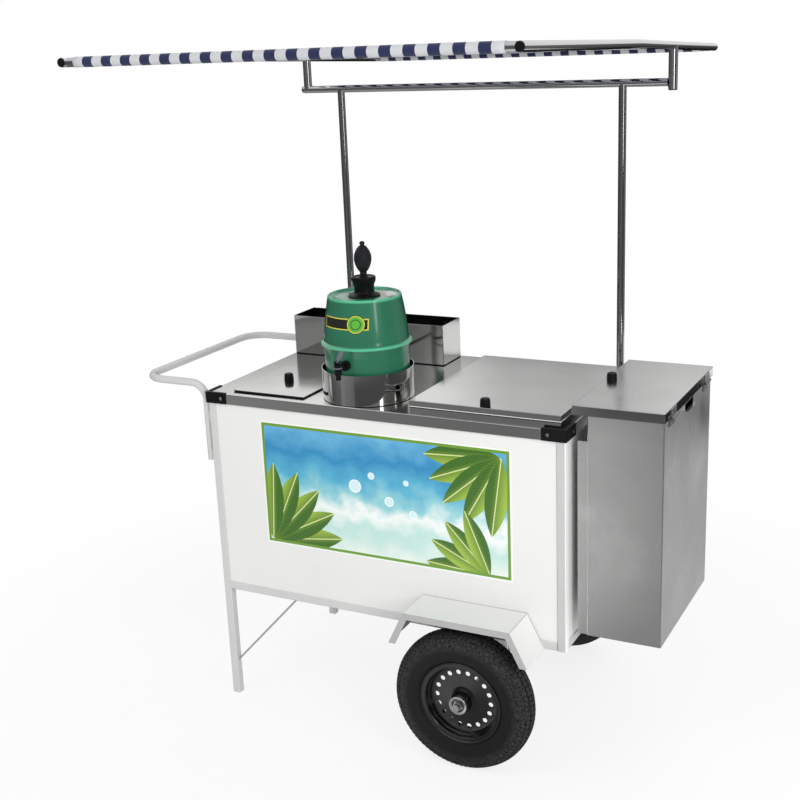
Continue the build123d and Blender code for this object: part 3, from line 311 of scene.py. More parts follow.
def kegPlastic():
    # Rotomoulded polyethylene: waxy green, lighter over the ridge and rim, partly where the wall thins and
    # partly as painted highlight on their rounded edges, plain label
    material, tree, shader, coords = newMaterial("greenPolyethylene", Coat_Weight=0.9, Coat_Roughness=0.12)
    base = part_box("keg_shell")[0][2]
    place = addNode(tree, "SeparateXYZ", {"Vector": coords}).outputs
    cloud, colour = cloudTone(tree, coords, keg["cloud"], keg["colour"], keg["shade"])
    layers = []
    # Ridge and rim lightened: partly a thinner wall, partly painted highlight on the rounded edges
    for level in (keg["ridge"], keg["rim"] - 2):
        away = addNode(tree, "Math", {0: place["Z"], 1: base + level * millimetre}, operation="SUBTRACT")
        apart = addNode(tree, "Math", {0: away}, operation="ABSOLUTE")
        edge = addNode(tree, "MapRange", {"Value": apart, "From Min": keg["band"] * millimetre,
                                          "From Max": keg["band"] * 0.4 * millimetre, "To Max": 0.75})
        layers.append((edge, keg["edge"]))
    label = keg["label"]
    middle = (boxMiddle("keg_collar").x + label["shift"] * millimetre, base + label["middle"] * millimetre)
    inFront = addNode(tree, "Math", {0: place["Y"], 1: boxMiddle("keg_collar").y}, operation="LESS_THAN")
    for inset, code in ((0, label["trim"]), (label["edge"], label["field"])):
        covered = inFront
        for axis, centre, size in (("X", middle[0], label["width"]), ("Z", middle[1], label["height"])):
            half = (size / 2 - inset) * millimetre
            near = addNode(tree, "Math", {0: place[axis], 1: centre, 2: half}, operation="COMPARE")
            covered = addNode(tree, "Math", {0: covered, 1: near}, operation="MULTIPLY")
        layers.append((covered, code))
    spot = (middle[0] + label["badgeShift"] * millimetre, 0, middle[1])
    turned = addNode(tree, "VectorMath", {0: coords, 1: (1, 0, 1)}, operation="MULTIPLY")
    reach = addNode(tree, "VectorMath", {0: turned, 1: spot}, operation="DISTANCE")
    for inset, part in label["rings"]:
        radius = (label["badgeRadius"] - inset) * millimetre
        disc = addNode(tree, "Math", {0: reach, 1: radius}, operation="LESS_THAN")
        both = addNode(tree, "Math", {0: disc, 1: inFront}, operation="MULTIPLY")
        layers.append((both, label[part]))
    colour = overpaint(tree, colour, layers + stickerLayers(tree, coords, base))
    gloss = addNode(tree, "MapRange", {"Value": cloud, "To Min": 0.27, "To Max": 0.37})
    bump = addNode(tree, "Bump", {"Height": cloud, "Strength": 0.05, "Distance": 0.001})
    plug(tree, shader, {"Base Color": colour, "Roughness": gloss, "Normal": bump})
    return material


# Canvas and print

canopy = {"navy": "#20264F", "white": "#C8CACD", "stripes": 39, "thread": 2.0, "fade": 120}


def stripedCanvas():
    # Woven awning canvas dyed in stripes: matt, plain weave drawn at 2 mm so that it shows
    material, tree, shader, coords = newMaterial("stripedAwningCanvas", Roughness=0.82, Sheen_Weight=0.15)
    low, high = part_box("canopy_fabric")
    across = addNode(tree, "SeparateXYZ", {"Vector": coords}).outputs["X"]
    count = addNode(tree, "MapRange", {"Value": across, "From Min": low[0], "From Max": high[0],
                                       "To Max": float(canopy["stripes"])})
    phase = addNode(tree, "Math", {0: count, 1: 2.0}, operation="FLOORED_MODULO")
    navy = addNode(tree, "Math", {0: phase, 1: 1.0}, operation="GREATER_THAN")
    stripe = addNode(tree, "Mix", {"Factor": navy, "A": canopy["white"], "B": canopy["navy"]},
                     data_type="RGBA")
    fade = addNode(tree, "TexNoise", {"Vector": coords, "Scale": perMetre(canopy["fade"]), "Detail": 4.0})
    dull = addNode(tree, "MapRange", {"Value": fade, "To Min": 0.90, "To Max": 1.04})
    tone = addNode(tree, "HueSaturation", {"Color": stripe, "Value": dull})
    waves = [addNode(tree, "TexWave", {"Vector": coords, "Scale": perMetre(canopy["thread"]) / math.pi},
                     bands_direction=axis).outputs["Fac"] for axis in "XY"]
    weave = addNode(tree, "Math", {0: waves[0], 1: waves[1]}, operation="MULTIPLY")
    bump = addNode(tree, "Bump", {"Height": weave, "Strength": 0.2, "Distance": 0.0004})
    plug(tree, shader, {"Base Color": tone, "Normal": bump})
    return material


printed = {"border": 5, "frame": 8, "white": "#F6F8F4", "green": "#6E9B32", "ripple": 70,
           "water": [(0.0, "#E9F3EA"), (0.22, "#BFE3DC"), (0.36, "#F2F7F4"), (0.46, "#9AD3D8"),
                     (0.60, "#58B2D2"), (0.78, "#2E8CC0"), (1.0, "#6DB7DC")],
           "leafDark": "#3C6B1E", "leafLight": "#9FBF45", "rib": "#D5E39A", "ribWidth": 1.6, "vein": 11,
           "fans": [{"root": (20, 12), "length": 235, "turns": [8, 27, 46, 66, 86]},
                    {"root": (738, 342), "length": 225, "turns": [183, 201, 220, 240, 262]},
                    {"root": (700, 8), "length": 190, "turns": [176, 155, 133, 112]}],
           "drops": [(300, 210, 20), (352, 246, 11), (405, 178, 15), (458, 238, 9), (372, 128, 8),
                     (476, 150, 12)],
           "dropEdge": "#FFFFFF", "dropFill": "#CDEBF0"}


def leafLayer(tree, flat, root, turn, length):
    # A leaf is the overlap of two circles about its own middle line, with a pale rib and slanted veins
    lean = math.radians(turn)
    middle = [start + way * length / 2 for start, way in zip(root, (math.cos(lean), math.sin(lean)))]
    place = addNode(tree, "Mapping", {"Vector": flat, "Location": (*middle, 0), "Rotation": (0, 0, lean)},
                    vector_type="TEXTURE")
    radius = length * 0.92
    offset = math.sqrt(radius ** 2 - (length / 2) ** 2)
    gaps = [addNode(tree, "VectorMath", {0: place, 1: (0, side * offset, 0)},
                    operation="DISTANCE") for side in (-1, 1)]
    far = addNode(tree, "Math", {0: gaps[0], 1: gaps[1]}, operation="MAXIMUM")
    covered = addNode(tree, "Math", {0: far, 1: radius}, operation="LESS_THAN")
    local = addNode(tree, "SeparateXYZ", {"Vector": place}).outputs
    away = addNode(tree, "Math", {0: local["Y"]}, operation="ABSOLUTE")
    slant = addNode(tree, "Math", {0: local["X"], 1: away}, operation="SUBTRACT")
    along = addNode(tree, "Math", {0: slant, 1: 2 * math.pi / printed["vein"]}, operation="MULTIPLY")
    vein = addNode(tree, "Math", {0: along}, operation="SINE")
    half = addNode(tree, "MapRange", {"Value": local["Y"], "From Min": -length * 0.06,
                                      "From Max": length * 0.12})
    shade = addNode(tree, "Math", {0: vein, 1: 0.07, 2: half}, operation="MULTIPLY_ADD")
    leaf = addNode(tree, "Mix", {"Factor": shade, "A": printed["leafDark"], "B": printed["leafLight"]},
                   data_type="RGBA")
    rib = addNode(tree, "Math", {0: away, 1: printed["ribWidth"]}, operation="LESS_THAN")
    return covered, overpaint(tree, leaf, [(rib, printed["rib"])])


def dropLayers(tree, flat, x, y, radius):
    # A clear drop: pale disc with a white edge
    gap = addNode(tree, "VectorMath", {0: flat, 1: (x, y, 0)}, operation="DISTANCE")
    layers = []
    for reach, code, weight in ((radius, printed["dropEdge"], 0.9),
                                (radius * 0.82, printed["dropFill"], 0.85)):
        disc = addNode(tree, "MapRange", {"Value": gap, "From Min": reach, "From Max": reach - 1.5,
                                          "To Max": weight})
        layers.append((disc, code))
    return layers


def printedVinyl():
    # Printed vinyl under clear film: white edge, green frame, shallow water with plain leaves and drops
    material, tree, shader, coords = newMaterial("printedVinyl", Roughness=0.3, Coat_Weight=0.3,
                                                 Coat_Roughness=0.1)
    low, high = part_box("print_panel")
    width, height = (high[0] - low[0]) / millimetre, (high[2] - low[2]) / millimetre
    place = addNode(tree, "SeparateXYZ", {"Vector": coords}).outputs
    across = addNode(tree, "MapRange", {"Value": place["X"], "From Min": low[0], "From Max": high[0],
                                        "To Max": width})
    up = addNode(tree, "MapRange", {"Value": place["Z"], "From Min": low[2], "From Max": high[2],
                                    "To Max": height})
    flat = addNode(tree, "CombineXYZ", {"X": across, "Y": up})
    ripple = addNode(tree, "TexNoise", {"Vector": flat, "Scale": 1 / printed["ripple"], "Detail": 4.0})
    shift = addNode(tree, "MapRange", {"Value": ripple, "To Min": -0.2, "To Max": 0.2})
    share = addNode(tree, "Math", {0: up, 1: 1 / height, 2: shift}, operation="MULTIPLY_ADD")
    water = addNode(tree, "ValToRGB", {"Fac": share}, stops=printed["water"])
    layers = [layer for drop in printed["drops"] for layer in dropLayers(tree, flat, *drop)]
    layers += [leafLayer(tree, flat, fan["root"], turn, fan["length"])
               for fan in printed["fans"] for turn in fan["turns"]]
    edges = []
    for value, size in ((across, width), (up, height)):
        rest = addNode(tree, "Math", {0: size, 1: value}, operation="SUBTRACT")
        edges.append(addNode(tree, "Math", {0: value, 1: rest}, operation="MINIMUM"))
    inset = addNode(tree, "Math", {0: edges[0], 1: edges[1]}, operation="MINIMUM")
    for limit, code in ((printed["border"] + printed["frame"], printed["green"]),
                        (printed["border"], printed["white"])):
        layers.append((addNode(tree, "Math", {0: inset, 1: limit}, operation="LESS_THAN"), code))
    plug(tree, shader, {"Base Color": overpaint(tree, water, layers)})
    return material


whiteCoat = powderCoat("whitePowderCoat", "#EDEDEC", "#E6E6E4")
greyCoat = powderCoat("greyWhiteFrameCoat", "#D4D4D3", "#CCCCCB")
chrome = platedTube("chromedTube", "#C9C9CC", 0.05, 0.08)
# The side tubes get a lighter copy of the chrome: painted light
brightTube = platedTube("lighterChromeSideTube", "#E8E8EA", 0.05, 0.08)
brightZinc = platedTube("brightZincHub", "#E4E4E2", 0.24, 0.12)
zinc = platedTube("zincPlatedSteel", "#B4B4B4", 0.20, 0.15)
blackPlastic = mouldedPlastic("blackPolypropylene", "#0C0C0D", "#131314", 0.42, 1.2, 0.08, specular=0.3)
blackRubber = mouldedPlastic("blackBulbRubber", "#1B1D20", "#222427", 0.5, 1.5, 0.10, specular=0.35)
tyreRubber = tyreCompound()
rimEnamel = mouldedPlastic("blackRimEnamel", "#0B0B0C", "#101011", 0.16, 3.0, 0.04, specular=0.75)
leverPlastic = mouldedPlastic("greyLeverPlastic", "#6A6C78", "#5E606B", 0.32, 1.5, 0.05)
linerPlastic = mouldedPlastic("whitePolypropylene", "#EDEDEA", "#E3E3DF", 0.45, 2.0, 0.08)
foam = mouldedPlastic("whiteInsulationFoam", "#E9E8E2", "#DDDCD5", 0.85, 3.0, 0.4)
sheets = {
    "keg_collar": stainlessSheet("brightKegCollar", "#DCDCDA", "#D4D4D3", 0.07),
    "cup_box": stainlessSheet("brightSealedCupBox", "#DCDCDA", "#D4D4D3", 0.07),
    "ice_tub": stainlessSheet("polishedStainlessCoaming", "#DCDCDA", "#D4D4D3", 0.09),
    "storage_tray": stainlessSheet("dullStainlessTray", "#DCDCDA", "#D4D4D3", 0.3),
    "worktop": stainlessSheet("polishedStainlessTop", "#E2E2E0", "#DADAD9", 0.13, lip=steel["lip"]),
    "ice_lid": stainlessSheet("polishedIceLidPaintedEdgeHighlight", "#E2E2E0", "#DADAD9", 0.13, lip=steel["lip"]),
    "storage_lid": stainlessSheet("polishedStorageLid", "#E6E6E4", "#DEDEDD", 0.14, lip=steel["lip"]),
    "bin_lid": stainlessSheet("satinStainlessBinLid", "#ECECEA", "#E4E4E3", 0.25, lip=steel["lip"]),
    "bin_body": stainlessSheet("satinStainlessBin", "#E4E4E3", "#DCDCDB", 0.26, stretch=0.75),
}
# Dull bands on the sheet, in millimetres from the foot (0) or top (1) of each node's box
# Painted shade: dark lines at the feet of the keg collar and cup box and just under the ice lid; painted
# highlight: a light line along the ice lid's lower edge
bands = [("keg_collar", 0, -1, 1.8, "#101010"), ("ice_lid", 0, -1, 1.6, "#F4F4F2"),
         ("ice_tub", 1, -2.6, 1, "#080808"), ("cup_box", 0, -1, 3, "#0A0A0A")]
for name, end, low, high, code in bands:
    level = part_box(name)[end][2]
    edgeBand(sheets[name], level + low * millimetre, level + high * millimetre, code)
for name in ("ice_tub", "storage_tray"):
    # Insides below the worktop
    low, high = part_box(name)[0][2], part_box("worktop")[1][2]
    edgeBand(sheets[name], low - steel["past"] * millimetre, high - steel["clear"] * millimetre,
             steel["inside"])
print("materials:", len(bpy.data.materials))

# CAD nodes that keep their own shape, by finish
finishes = {
    whiteCoat: ["front_panel", "rear_panel", "end_panels", "floor_panel", "axle_hangers", "pole_sockets"],
    greyCoat: ["leg_front_left", "leg_rear_left", "bottom_frame", "top_frame", "handle"],
    postCoat(): ["right_posts"],
    # The braces get a darker grey copy of the frame coat: painted shade on the white rods
    powderCoat("shadedBraceCoat", "#A4A4A3", "#9C9C9B"): ["leg_braces"],
    fenderCoat(): ["front_fender", "rear_fender"],
    printedVinyl(): ["print_panel"],
    chrome: ["pole_left", "pole_right", "front_tube", "rear_tube", "corner_rivets"],
    brightTube: ["side_frame_left", "side_frame_right"],
    zinc: ["axle", "pole_thumbscrews", "front_wheel_bearings", "rear_wheel_bearings", "lid_hinge_base_leaves",
           "ice_lid_hinge_leaves", "bin_lid_hinge_leaves", "lid_hinge_pins"],
    blackPlastic: ["corner_protectors", "tube_plugs", "storage_lid_gasket", "tap_body"],
    leverPlastic: ["tap_lever"],
    linerPlastic: ["keg_liner"],
    foam: ["ice_tub_insulation", "ice_lid_core"],
    **{sheet: [name] for name, sheet in sheets.items()},
}
for finish, names in finishes.items():
    for name in names:
        shape = cadNodes[name].data
        shape.materials.clear()
        shape.materials.append(finish)
print("finishes set")


# Shape helpers

def meshObject(name, bm, material, sharpAngle=35):
    bmesh.ops.recalc_face_normals(bm, faces=bm.faces)
    mesh = bpy.data.meshes.new(name)
    bm.to_mesh(mesh)
    bm.free()
    mesh.shade_smooth()
    mesh.set_sharp_from_angle(angle=math.radians(sharpAngle))
    mesh.materials.append(material)
    piece = bpy.data.objects.new(name, mesh)
    bpy.context.scene.collection.objects.link(piece)
    return piece


def spin(bm, profile, segments, place, loop=False):
    # Turns a profile of (radius, height) points about Z and sets it at a place
    rings = []
    for radius, height in profile:
        count = segments if radius > 1e-6 else 1
        turns = [2 * math.pi * i / count for i in range(count)]
        rings.append([bm.verts.new(place @ Vector((radius * math.cos(t), radius * math.sin(t), height)))
                      for t in turns])
    pairs = list(zip(rings, rings[1:]))
    if loop:
        pairs.append((rings[-1], rings[0]))
    for low, high in pairs:
        for i in range(segments):
            j = (i + 1) % segments
            corners = [low[i % len(low)], low[j % len(low)], high[j % len(high)], high[i % len(high)]]
            bm.faces.new(list(dict.fromkeys(corners)))


def bend(start, pull, end, steps):
    # Points of a curve from start to end, drawn towards a pull point
    points = []
    for i in range(steps + 1):
        t = i / steps
        weights = ((1 - t) ** 2, 2 * t * (1 - t), t ** 2)
        points.append(tuple(sum(w * p[axis] for w, p in zip(weights, (start, pull, end))) for axis in (0, 1)))
    return points


def inMetres(profile):
    return [(radius * millimetre, height * millimetre) for radius, height in profile]


def turnedPiece(name, profile, segments, place, material, sharpAngle, loop=False):
    # A piece turned from a profile in millimetres
    bm = bmesh.new()
    spin(bm, inMetres(profile), segments, place, loop)
    return meshObject(name, bm, material, sharpAngle)


def settle(piece, body, slot, *replaced):
    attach(piece, body)
    if replaced:
        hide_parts(*replaced)


def keepResult(piece, modifier):
    # What the modifier makes becomes the piece's own plain mesh
    mesh = bpy.data.meshes.new_from_object(piece.evaluated_get(bpy.context.evaluated_depsgraph_get()))
    piece.modifiers.remove(modifier)
    piece.data = mesh


def nodeTree(name, sockets):
    # Empty geometry tree with a geometry in and out, and named inputs
    tree = bpy.data.node_groups.new(name, "GeometryNodeTree")
    tree.interface.new_socket("Geometry", in_out="OUTPUT", socket_type="NodeSocketGeometry")
    for socket, kind in {"Geometry": "Geometry", **sockets}.items():
        tree.interface.new_socket(socket, in_out="INPUT", socket_type="NodeSocket" + kind)
    return tree, addNode(tree, "NodeGroupInput").outputs


def finishTree(tree, geometry, material):
    real = addNode(tree, "GeometryNodeRealizeInstances", {"Geometry": geometry})
    finish = addNode(tree, "GeometryNodeSetMaterial", {"Geometry": real, "Material": material})
    addNode(tree, "NodeGroupOutput", {"Geometry": finish})
    return tree


def applyTree(piece, tree, values):
    # Runs a node tree on a piece and keeps the result as a plain mesh
    modifier = piece.modifiers.new(tree.name, "NODES")
    modifier.node_group = tree
    for item in tree.interface.items_tree:
        if item.item_type == "SOCKET" and item.in_out == "INPUT" and item.name in values:
            modifier[item.identifier] = values[item.name]
    keepResult(piece, modifier)


# Tyres: a spun carcass, with rows of small tread blocks set round it by a node tree

tyre = {"segments": 160, "sharp": 40, "bead": 103.5, "beadHalf": 30.6, "flange": 118.6, "crown": 195.2,
        "count": 88,
        "rows": [{"radius": 196.4, "offset": 8.6, "tilt": 6, "twist": 24, "size": (4, 11.6, 13)},
                 {"radius": 191.4, "offset": 25.4, "tilt": 24, "twist": -20, "size": (4, 11.4, 14)},
                 {"radius": 181.2, "offset": 37.3, "tilt": 62, "twist": 0, "size": (3.4, 9.6, 8)},
                 {"radius": 169.2, "offset": 41.8, "tilt": 80, "twist": 0, "size": (1.8, 6.4, 7)}]}


def tyreProfile():
    half = [(tyre["bead"], 22), (tyre["bead"], tyre["beadHalf"]), (tyre["flange"], tyre["beadHalf"])]
    half += [(120.5, 33.5), (123, 36.2), (125.5, 37.0), (126.8, 38.4), (129, 38.9), (130.4, 38.5)]
    half += bend((132, 38.9), (150, 43.8), (165, 42.4), 10)
    half += bend((167, 42.2), (180, 39.6), (187.4, 31.5), 9)
    half += bend((189, 28.4), (194.6, 15), (tyre["crown"], 1), 7)
    return half + [(radius, -height) for radius, height in reversed(half)]


def treadTree():
    tree, given = nodeTree("treadBlocks", {"Rubber": "Material", "Centre": "Vector", "Turn": "Vector"})
    joined = addNode(tree, "GeometryNodeJoinGeometry")
    for number, row in enumerate(tyre["rows"]):
        for side in (-1, 1):
            # One ring of blocks: sizes in millimetres, tilt off the radius and twist in degrees
            ring = addNode(tree, "GeometryNodeMeshCircle", {"Vertices": tyre["count"],
                                                            "Radius": row["radius"] * millimetre})
            phase = math.pi / tyre["count"] * (number % 2 + (side > 0) * 0.5)
            aside = (0, 0, side * row["offset"] * millimetre)
            spots = addNode(tree, "GeometryNodeTransform", {"Geometry": ring, "Translation": aside,
                                                            "Rotation": (0, 0, phase)})
            outward = addNode(tree, "VectorMath", {0: addNode(tree, "GeometryNodeInputPosition"),
                                                   1: (1, 1, 0)}, operation="MULTIPLY")
            aim = addNode(tree, "FunctionNodeAlignRotationToVector", {"Vector": outward}, axis="X",
                          pivot_axis="Z")
            for turn in ((0, -side * math.radians(row["tilt"]), 0),
                         (side * math.radians(row["twist"]), 0, 0)):
                aim = addNode(tree, "FunctionNodeRotateRotation", {"Rotation": aim, "Rotate By": turn},
                              rotation_space="LOCAL")
            size = tuple(length * millimetre for length in row["size"])
            block = addNode(tree, "GeometryNodeMeshCube", {"Size": size})
            blocks = addNode(tree, "GeometryNodeInstanceOnPoints",
                             {"Points": spots, "Instance": block, "Rotation": aim})
            plug(tree, joined, {"Geometry": blocks})
    plug(tree, joined, {"Geometry": given["Geometry"]})
    placed = addNode(tree, "GeometryNodeTransform", {"Geometry": joined, "Translation": given["Centre"],
                                                     "Rotation": given["Turn"]})
    return finishTree(tree, placed, given["Rubber"])


treadBlocks = treadTree()
wheelSides = {"front": 90, "rear": -90}
for side, turn in wheelSides.items():
    carcass = turnedPiece(side + "TyreTread", tyreProfile(), tyre["segments"], Matrix.Identity(4), tyreRubber,
                          tyre["sharp"], loop=True)
    applyTree(carcass, treadBlocks, {"Rubber": tyreRubber, "Centre": boxMiddle(side + "_tyre"),
                                     "Turn": (math.radians(turn), 0, 0)})
    carcass.data.set_sharp_from_angle(angle=math.radians(tyre["sharp"]))
    settle(carcass, side + "_wheel", "tyre_rubber", side + "_tyre")
print("tyres done")

# Wheel discs: pressed rim with a stepped flange, dished disc and a ring of vent holes

rim = {"segments": 120, "sharp": 30, "holes": 18, "holeCircle": 79, "holeRadius": 6.7, "valveHole": 3.2,
       "valve": (13, -29), "disc": 7, "back": 4.6, "hub": 26, "hubOuter": 38, "hubInner": 30, "bore": 20.1,
       "punch": 20, "punchSides": 24, "drill": 50, "drillSides": 16}


def wheelPlace(side):
    # A wheel's own frame, with Z out along the axle
    turn = Matrix.Rotation(math.radians(wheelSides[side]), 4, "X")
    return Matrix.Translation(boxMiddle(side + "_tyre")) @ turn


def rimProfile():
    lip = [(117.2, 32.2), (117.8, 33.2), (116.6, 34.2), (114.6, 33.8), (112.0, 31.2), (110.6, 31.0),
           (109.2, 32.2), (107.6, 32.4), (105.0, 30.4), (102.6, 27.8), (101.6, 25.0)]
    well = [(100.8, 18.6), (99.2, 16.8), (97.4, 15.8), (96.6, 13.6), (96.0, 10.0), (94.8, 8.0)]
    disc = [(93, rim["disc"]), (68, rim["disc"]), (64, 7.4), (40, 9.4), (34, 10.8), (28.2, 15.5),
            (rim["hub"] + 0.4, 21), (rim["hub"], 37.2), (rim["hub"] - 0.8, rim["hubOuter"]),
            (rim["bore"], rim["hubOuter"])]
    back = [(rim["bore"], -rim["hubInner"]), (rim["hub"], -rim["hubInner"]), (rim["hub"], rim["back"]),
            (99.0, rim["back"]), (101.0, 0)]
    rear = [(radius, -height) for radius, height in reversed(lip)]
    seat = [(104, -31.3), (103, -30), (103, 30), (104, 31.3)]
    return lip + well + disc + back + rear + seat


def ventTree():
    sizes = {"Holes": "Int", "Hole Circle": "Float", "Hole Radius": "Float", "Valve Spot": "Vector",
             "Valve Radius": "Float", "Enamel": "Material"}
    tree, given = nodeTree("discVents", sizes)
    ring = addNode(tree, "GeometryNodeMeshCircle", {"Vertices": given["Holes"],
                                                    "Radius": given["Hole Circle"]})
    punch = addNode(tree, "GeometryNodeMeshCylinder", {"Vertices": rim["punchSides"],
                                                       "Radius": given["Hole Radius"],
                                                       "Depth": rim["punch"] * millimetre})
    punches = addNode(tree, "GeometryNodeInstanceOnPoints", {"Points": ring, "Instance": punch})
    drill = addNode(tree, "GeometryNodeMeshCylinder", {"Vertices": rim["drillSides"],
                                                       "Radius": given["Valve Radius"],
                                                       "Depth": rim["drill"] * millimetre})
    valve = addNode(tree, "GeometryNodeTransform", {"Geometry": drill, "Translation": given["Valve Spot"]})
    tools = addNode(tree, "GeometryNodeJoinGeometry", {"Geometry": punches})
    plug(tree, tools, {"Geometry": valve})
    solid = addNode(tree, "GeometryNodeRealizeInstances", {"Geometry": tools})
    cut = addNode(tree, "GeometryNodeMeshBoolean", {"Mesh 1": given["Geometry"], "Mesh 2": solid},
                  operation="DIFFERENCE", solver="EXACT")
    return finishTree(tree, cut, given["Enamel"])


discVents = ventTree()
for side in wheelSides:
    disc = turnedPiece(side + "WheelDisc", rimProfile(), rim["segments"], Matrix.Identity(4), rimEnamel,
                       rim["sharp"], loop=True)
    applyTree(disc, discVents, {"Holes": rim["holes"], "Hole Circle": rim["holeCircle"] * millimetre,
                                "Hole Radius": rim["holeRadius"] * millimetre,
                                "Valve Spot": [part * millimetre for part in (*rim["valve"], 0)],
                                "Valve Radius": rim["valveHole"] * millimetre, "Enamel": rimEnamel})
    disc.data.transform(wheelPlace(side))
    disc.data.set_sharp_from_angle(angle=math.radians(rim["sharp"]))
    settle(disc, side + "_wheel", "black_paint", side + "_wheel_rim")
print("wheel discs done")

# Axle ends: cupped washer, castle nut and split pin, with a black ring in each cup's recess as painted shade

axleEnd = {"low": 38.3, "top": 42.3, "washer": 25.6, "nutTop": 53.3, "nut": 13.6, "bore": 10.1, "sharp": 30,
           "cupSegments": 56, "nutSides": 6, "sealSegments": 48,
           "legSides": 12, "eyeSides": 8, "eyeSegments": 20,
           "pin": 0.8, "pinSpread": 0.6, "pinLength": 15, "pinLevel": 55.1, "eye": 2.2,
           # The seal ring is a black ring on the floor of the washer's recess: painted shade
           "seal": [(14.2, 42.4), (17.8, 42.4), (17.8, 44), (14.2, 44)]}


def axleEndShape(bm, place):
    low, top, edge, bore = (axleEnd[name] for name in ("low", "top", "washer", "bore"))
    cup = [(bore, low), (edge - 0.6, low), (edge, low + 0.8), (edge, top + 4.4), (edge - 0.6, top + 5.2),
           (edge - 1.6, top + 5.2), (edge - 2.4, top + 4.2), (20.6, top + 3.4), (19.6, top + 4),
           (18.4, top + 3.6), (18, top), (bore, top)]
    spin(bm, inMetres(cup), axleEnd["cupSegments"], place, loop=True)
    nutTop, nut = axleEnd["nutTop"], axleEnd["nut"]
    castle = [(bore, top), (nut, top), (nut, nutTop - 4), (nut - 2.2, nutTop - 3), (nut - 2.6, nutTop),
              (bore, nutTop)]
    spin(bm, inMetres(castle), axleEnd["nutSides"], place, loop=True)
    reach, level, thick = (axleEnd[name] * millimetre for name in ("pinLength", "pinLevel", "pin"))
    for sideways in (-1, 1):
        # The pin's two legs lie side by side through the axle's end
        spot = Matrix.Translation((sideways * axleEnd["pinSpread"] * millimetre, 0, level))
        bmesh.ops.create_cone(bm, cap_ends=True, segments=axleEnd["legSides"],
                              radius1=thick, radius2=thick, depth=reach * 2,
                              matrix=place @ spot @ Matrix.Rotation(math.radians(90), 4, "X"))
    eye = place @ Matrix.Translation((0, reach, level)) @ Matrix.Rotation(math.radians(90), 4, "Y")
    turns = [2 * math.pi * i / axleEnd["eyeSides"] for i in range(axleEnd["eyeSides"])]
    ring = [(axleEnd["eye"] * millimetre + thick * math.cos(t), thick * math.sin(t)) for t in turns]
    spin(bm, ring, axleEnd["eyeSegments"], eye, loop=True)


nuts, recessShadeRings = bmesh.new(), bmesh.new()
for side in wheelSides:
    axleEndShape(nuts, wheelPlace(side))
    spin(recessShadeRings, inMetres(axleEnd["seal"]), axleEnd["sealSegments"], wheelPlace(side), loop=True)
axleEnds = meshObject("axleEndNuts", nuts, brightZinc, axleEnd["sharp"])
settle(axleEnds, "cart", "plated_steel", "axle_end_fasteners")
# Black rubber rings in the washers' recesses: painted shade that darkens the recess
recessShadeRing = meshObject("hubRecessShade", recessShadeRings, blackRubber, axleEnd["sharp"])
settle(recessShadeRing, "cart", "black_rubber")
print("axle ends done")

# Keg: moulded shell, stopper, squeeze bulb and the ring on the tap

kegFoot = Vector((boxMiddle("keg_shell").x, boxMiddle("keg_collar").y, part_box("keg_shell")[0][2]))
kegTap = {"height": 114, "wall": 115, "bore": 6.2, "depth": 60, "segments": 32}


def kegProfile():
    swell, rim, top = keg["ridge"], keg["rim"], keg["top"]
    outer = [(0, 0), (112, 0), (113.6, 0.6), (114, 2.5)]
    outer += [(114 + 0.8 * i, 2.5 + (swell - 11) / 6 * i) for i in range(1, 7)]
    ridge = bend((119.6, swell - 6), (129.6, swell - 4.5), (128.2, swell + 0.4), 6)
    ridge += bend((128, swell + 1.4), (126.5, swell + 5.4), (118.6, swell + 6.6), 6)
    upper = bend((118, swell + 8), (112.4, 230), (102, rim - 8), 14)
    edge = [(101.7, rim - 5.5), (101.2, rim - 2.5), (99.8, rim - 0.4), (98, rim), (96.6, rim - 0.6),
            (95.6, rim - 2.6), (94.6, rim - 5.4)]
    lid = [(92.8, top + 0.2), (70, top), (50, top), (33, top), (30.6, top - 0.4), (30, top - 1.4),
           (30, top - 5)]
    inner = [(60, top - 5.5), (92, top - 7), (101, 228), (110, 166), (110, 20), (105, 5), (0, 5)]
    return outer + ridge + upper + edge + lid + inner


shell = turnedPiece("kegShell", kegProfile(), keg["segments"], Matrix.Translation(kegFoot), kegPlastic(),
                    keg["sharp"])
bore = bmesh.new()
borePlace = Matrix.Translation(kegFoot + Vector((0, -kegTap["wall"], kegTap["height"])) * millimetre)
bmesh.ops.create_cone(bore, cap_ends=True, segments=kegTap["segments"], radius1=kegTap["bore"] * millimetre,
                      radius2=kegTap["bore"] * millimetre, depth=kegTap["depth"] * millimetre,
                      matrix=borePlace @ Matrix.Rotation(math.radians(90), 4, "X"))
borer = meshObject("tapBorer", bore, shell.data.materials[0])
cut = shell.modifiers.new("tapHole", "BOOLEAN")
cut.operation = "DIFFERENCE"
cut.object = borer
keepResult(shell, cut)
bpy.data.objects.remove(borer)
shell.data.set_sharp_from_angle(angle=math.radians(keg["sharp"]))
settle(shell, "keg", "green_plastic", "keg_shell")

stopperTurn = {"segments": 72, "sharp": 38}


def stopperProfile():
    # Heights above the keg's top: plug in the mouth, flange, waisted body, dished cap
    plugEnd = [(0, -30), (25.5, -30), (26.7, -28.5), (26.7, 0.2)]
    flange = [(42.5, 0.3), (44, 1.2), (43.6, 3), (40, 5.4), (33, 7.6), (29.5, 9.4)]
    body = bend((28, 11), (26.2, 23), (29, 35), 6) + [(31.6, 39), (32.4, 43)]
    cap = [(33, 44.6), (33, 51.5), (32.2, 53.6), (30.4, 54.6), (28.6, 54.2), (27.4, 52.6), (12.5, 52.4),
           (11.4, 54.9), (0, 54.9)]
    return plugEnd + flange + body + cap


bulbTurn = {"segments": 64, "sharp": 50}


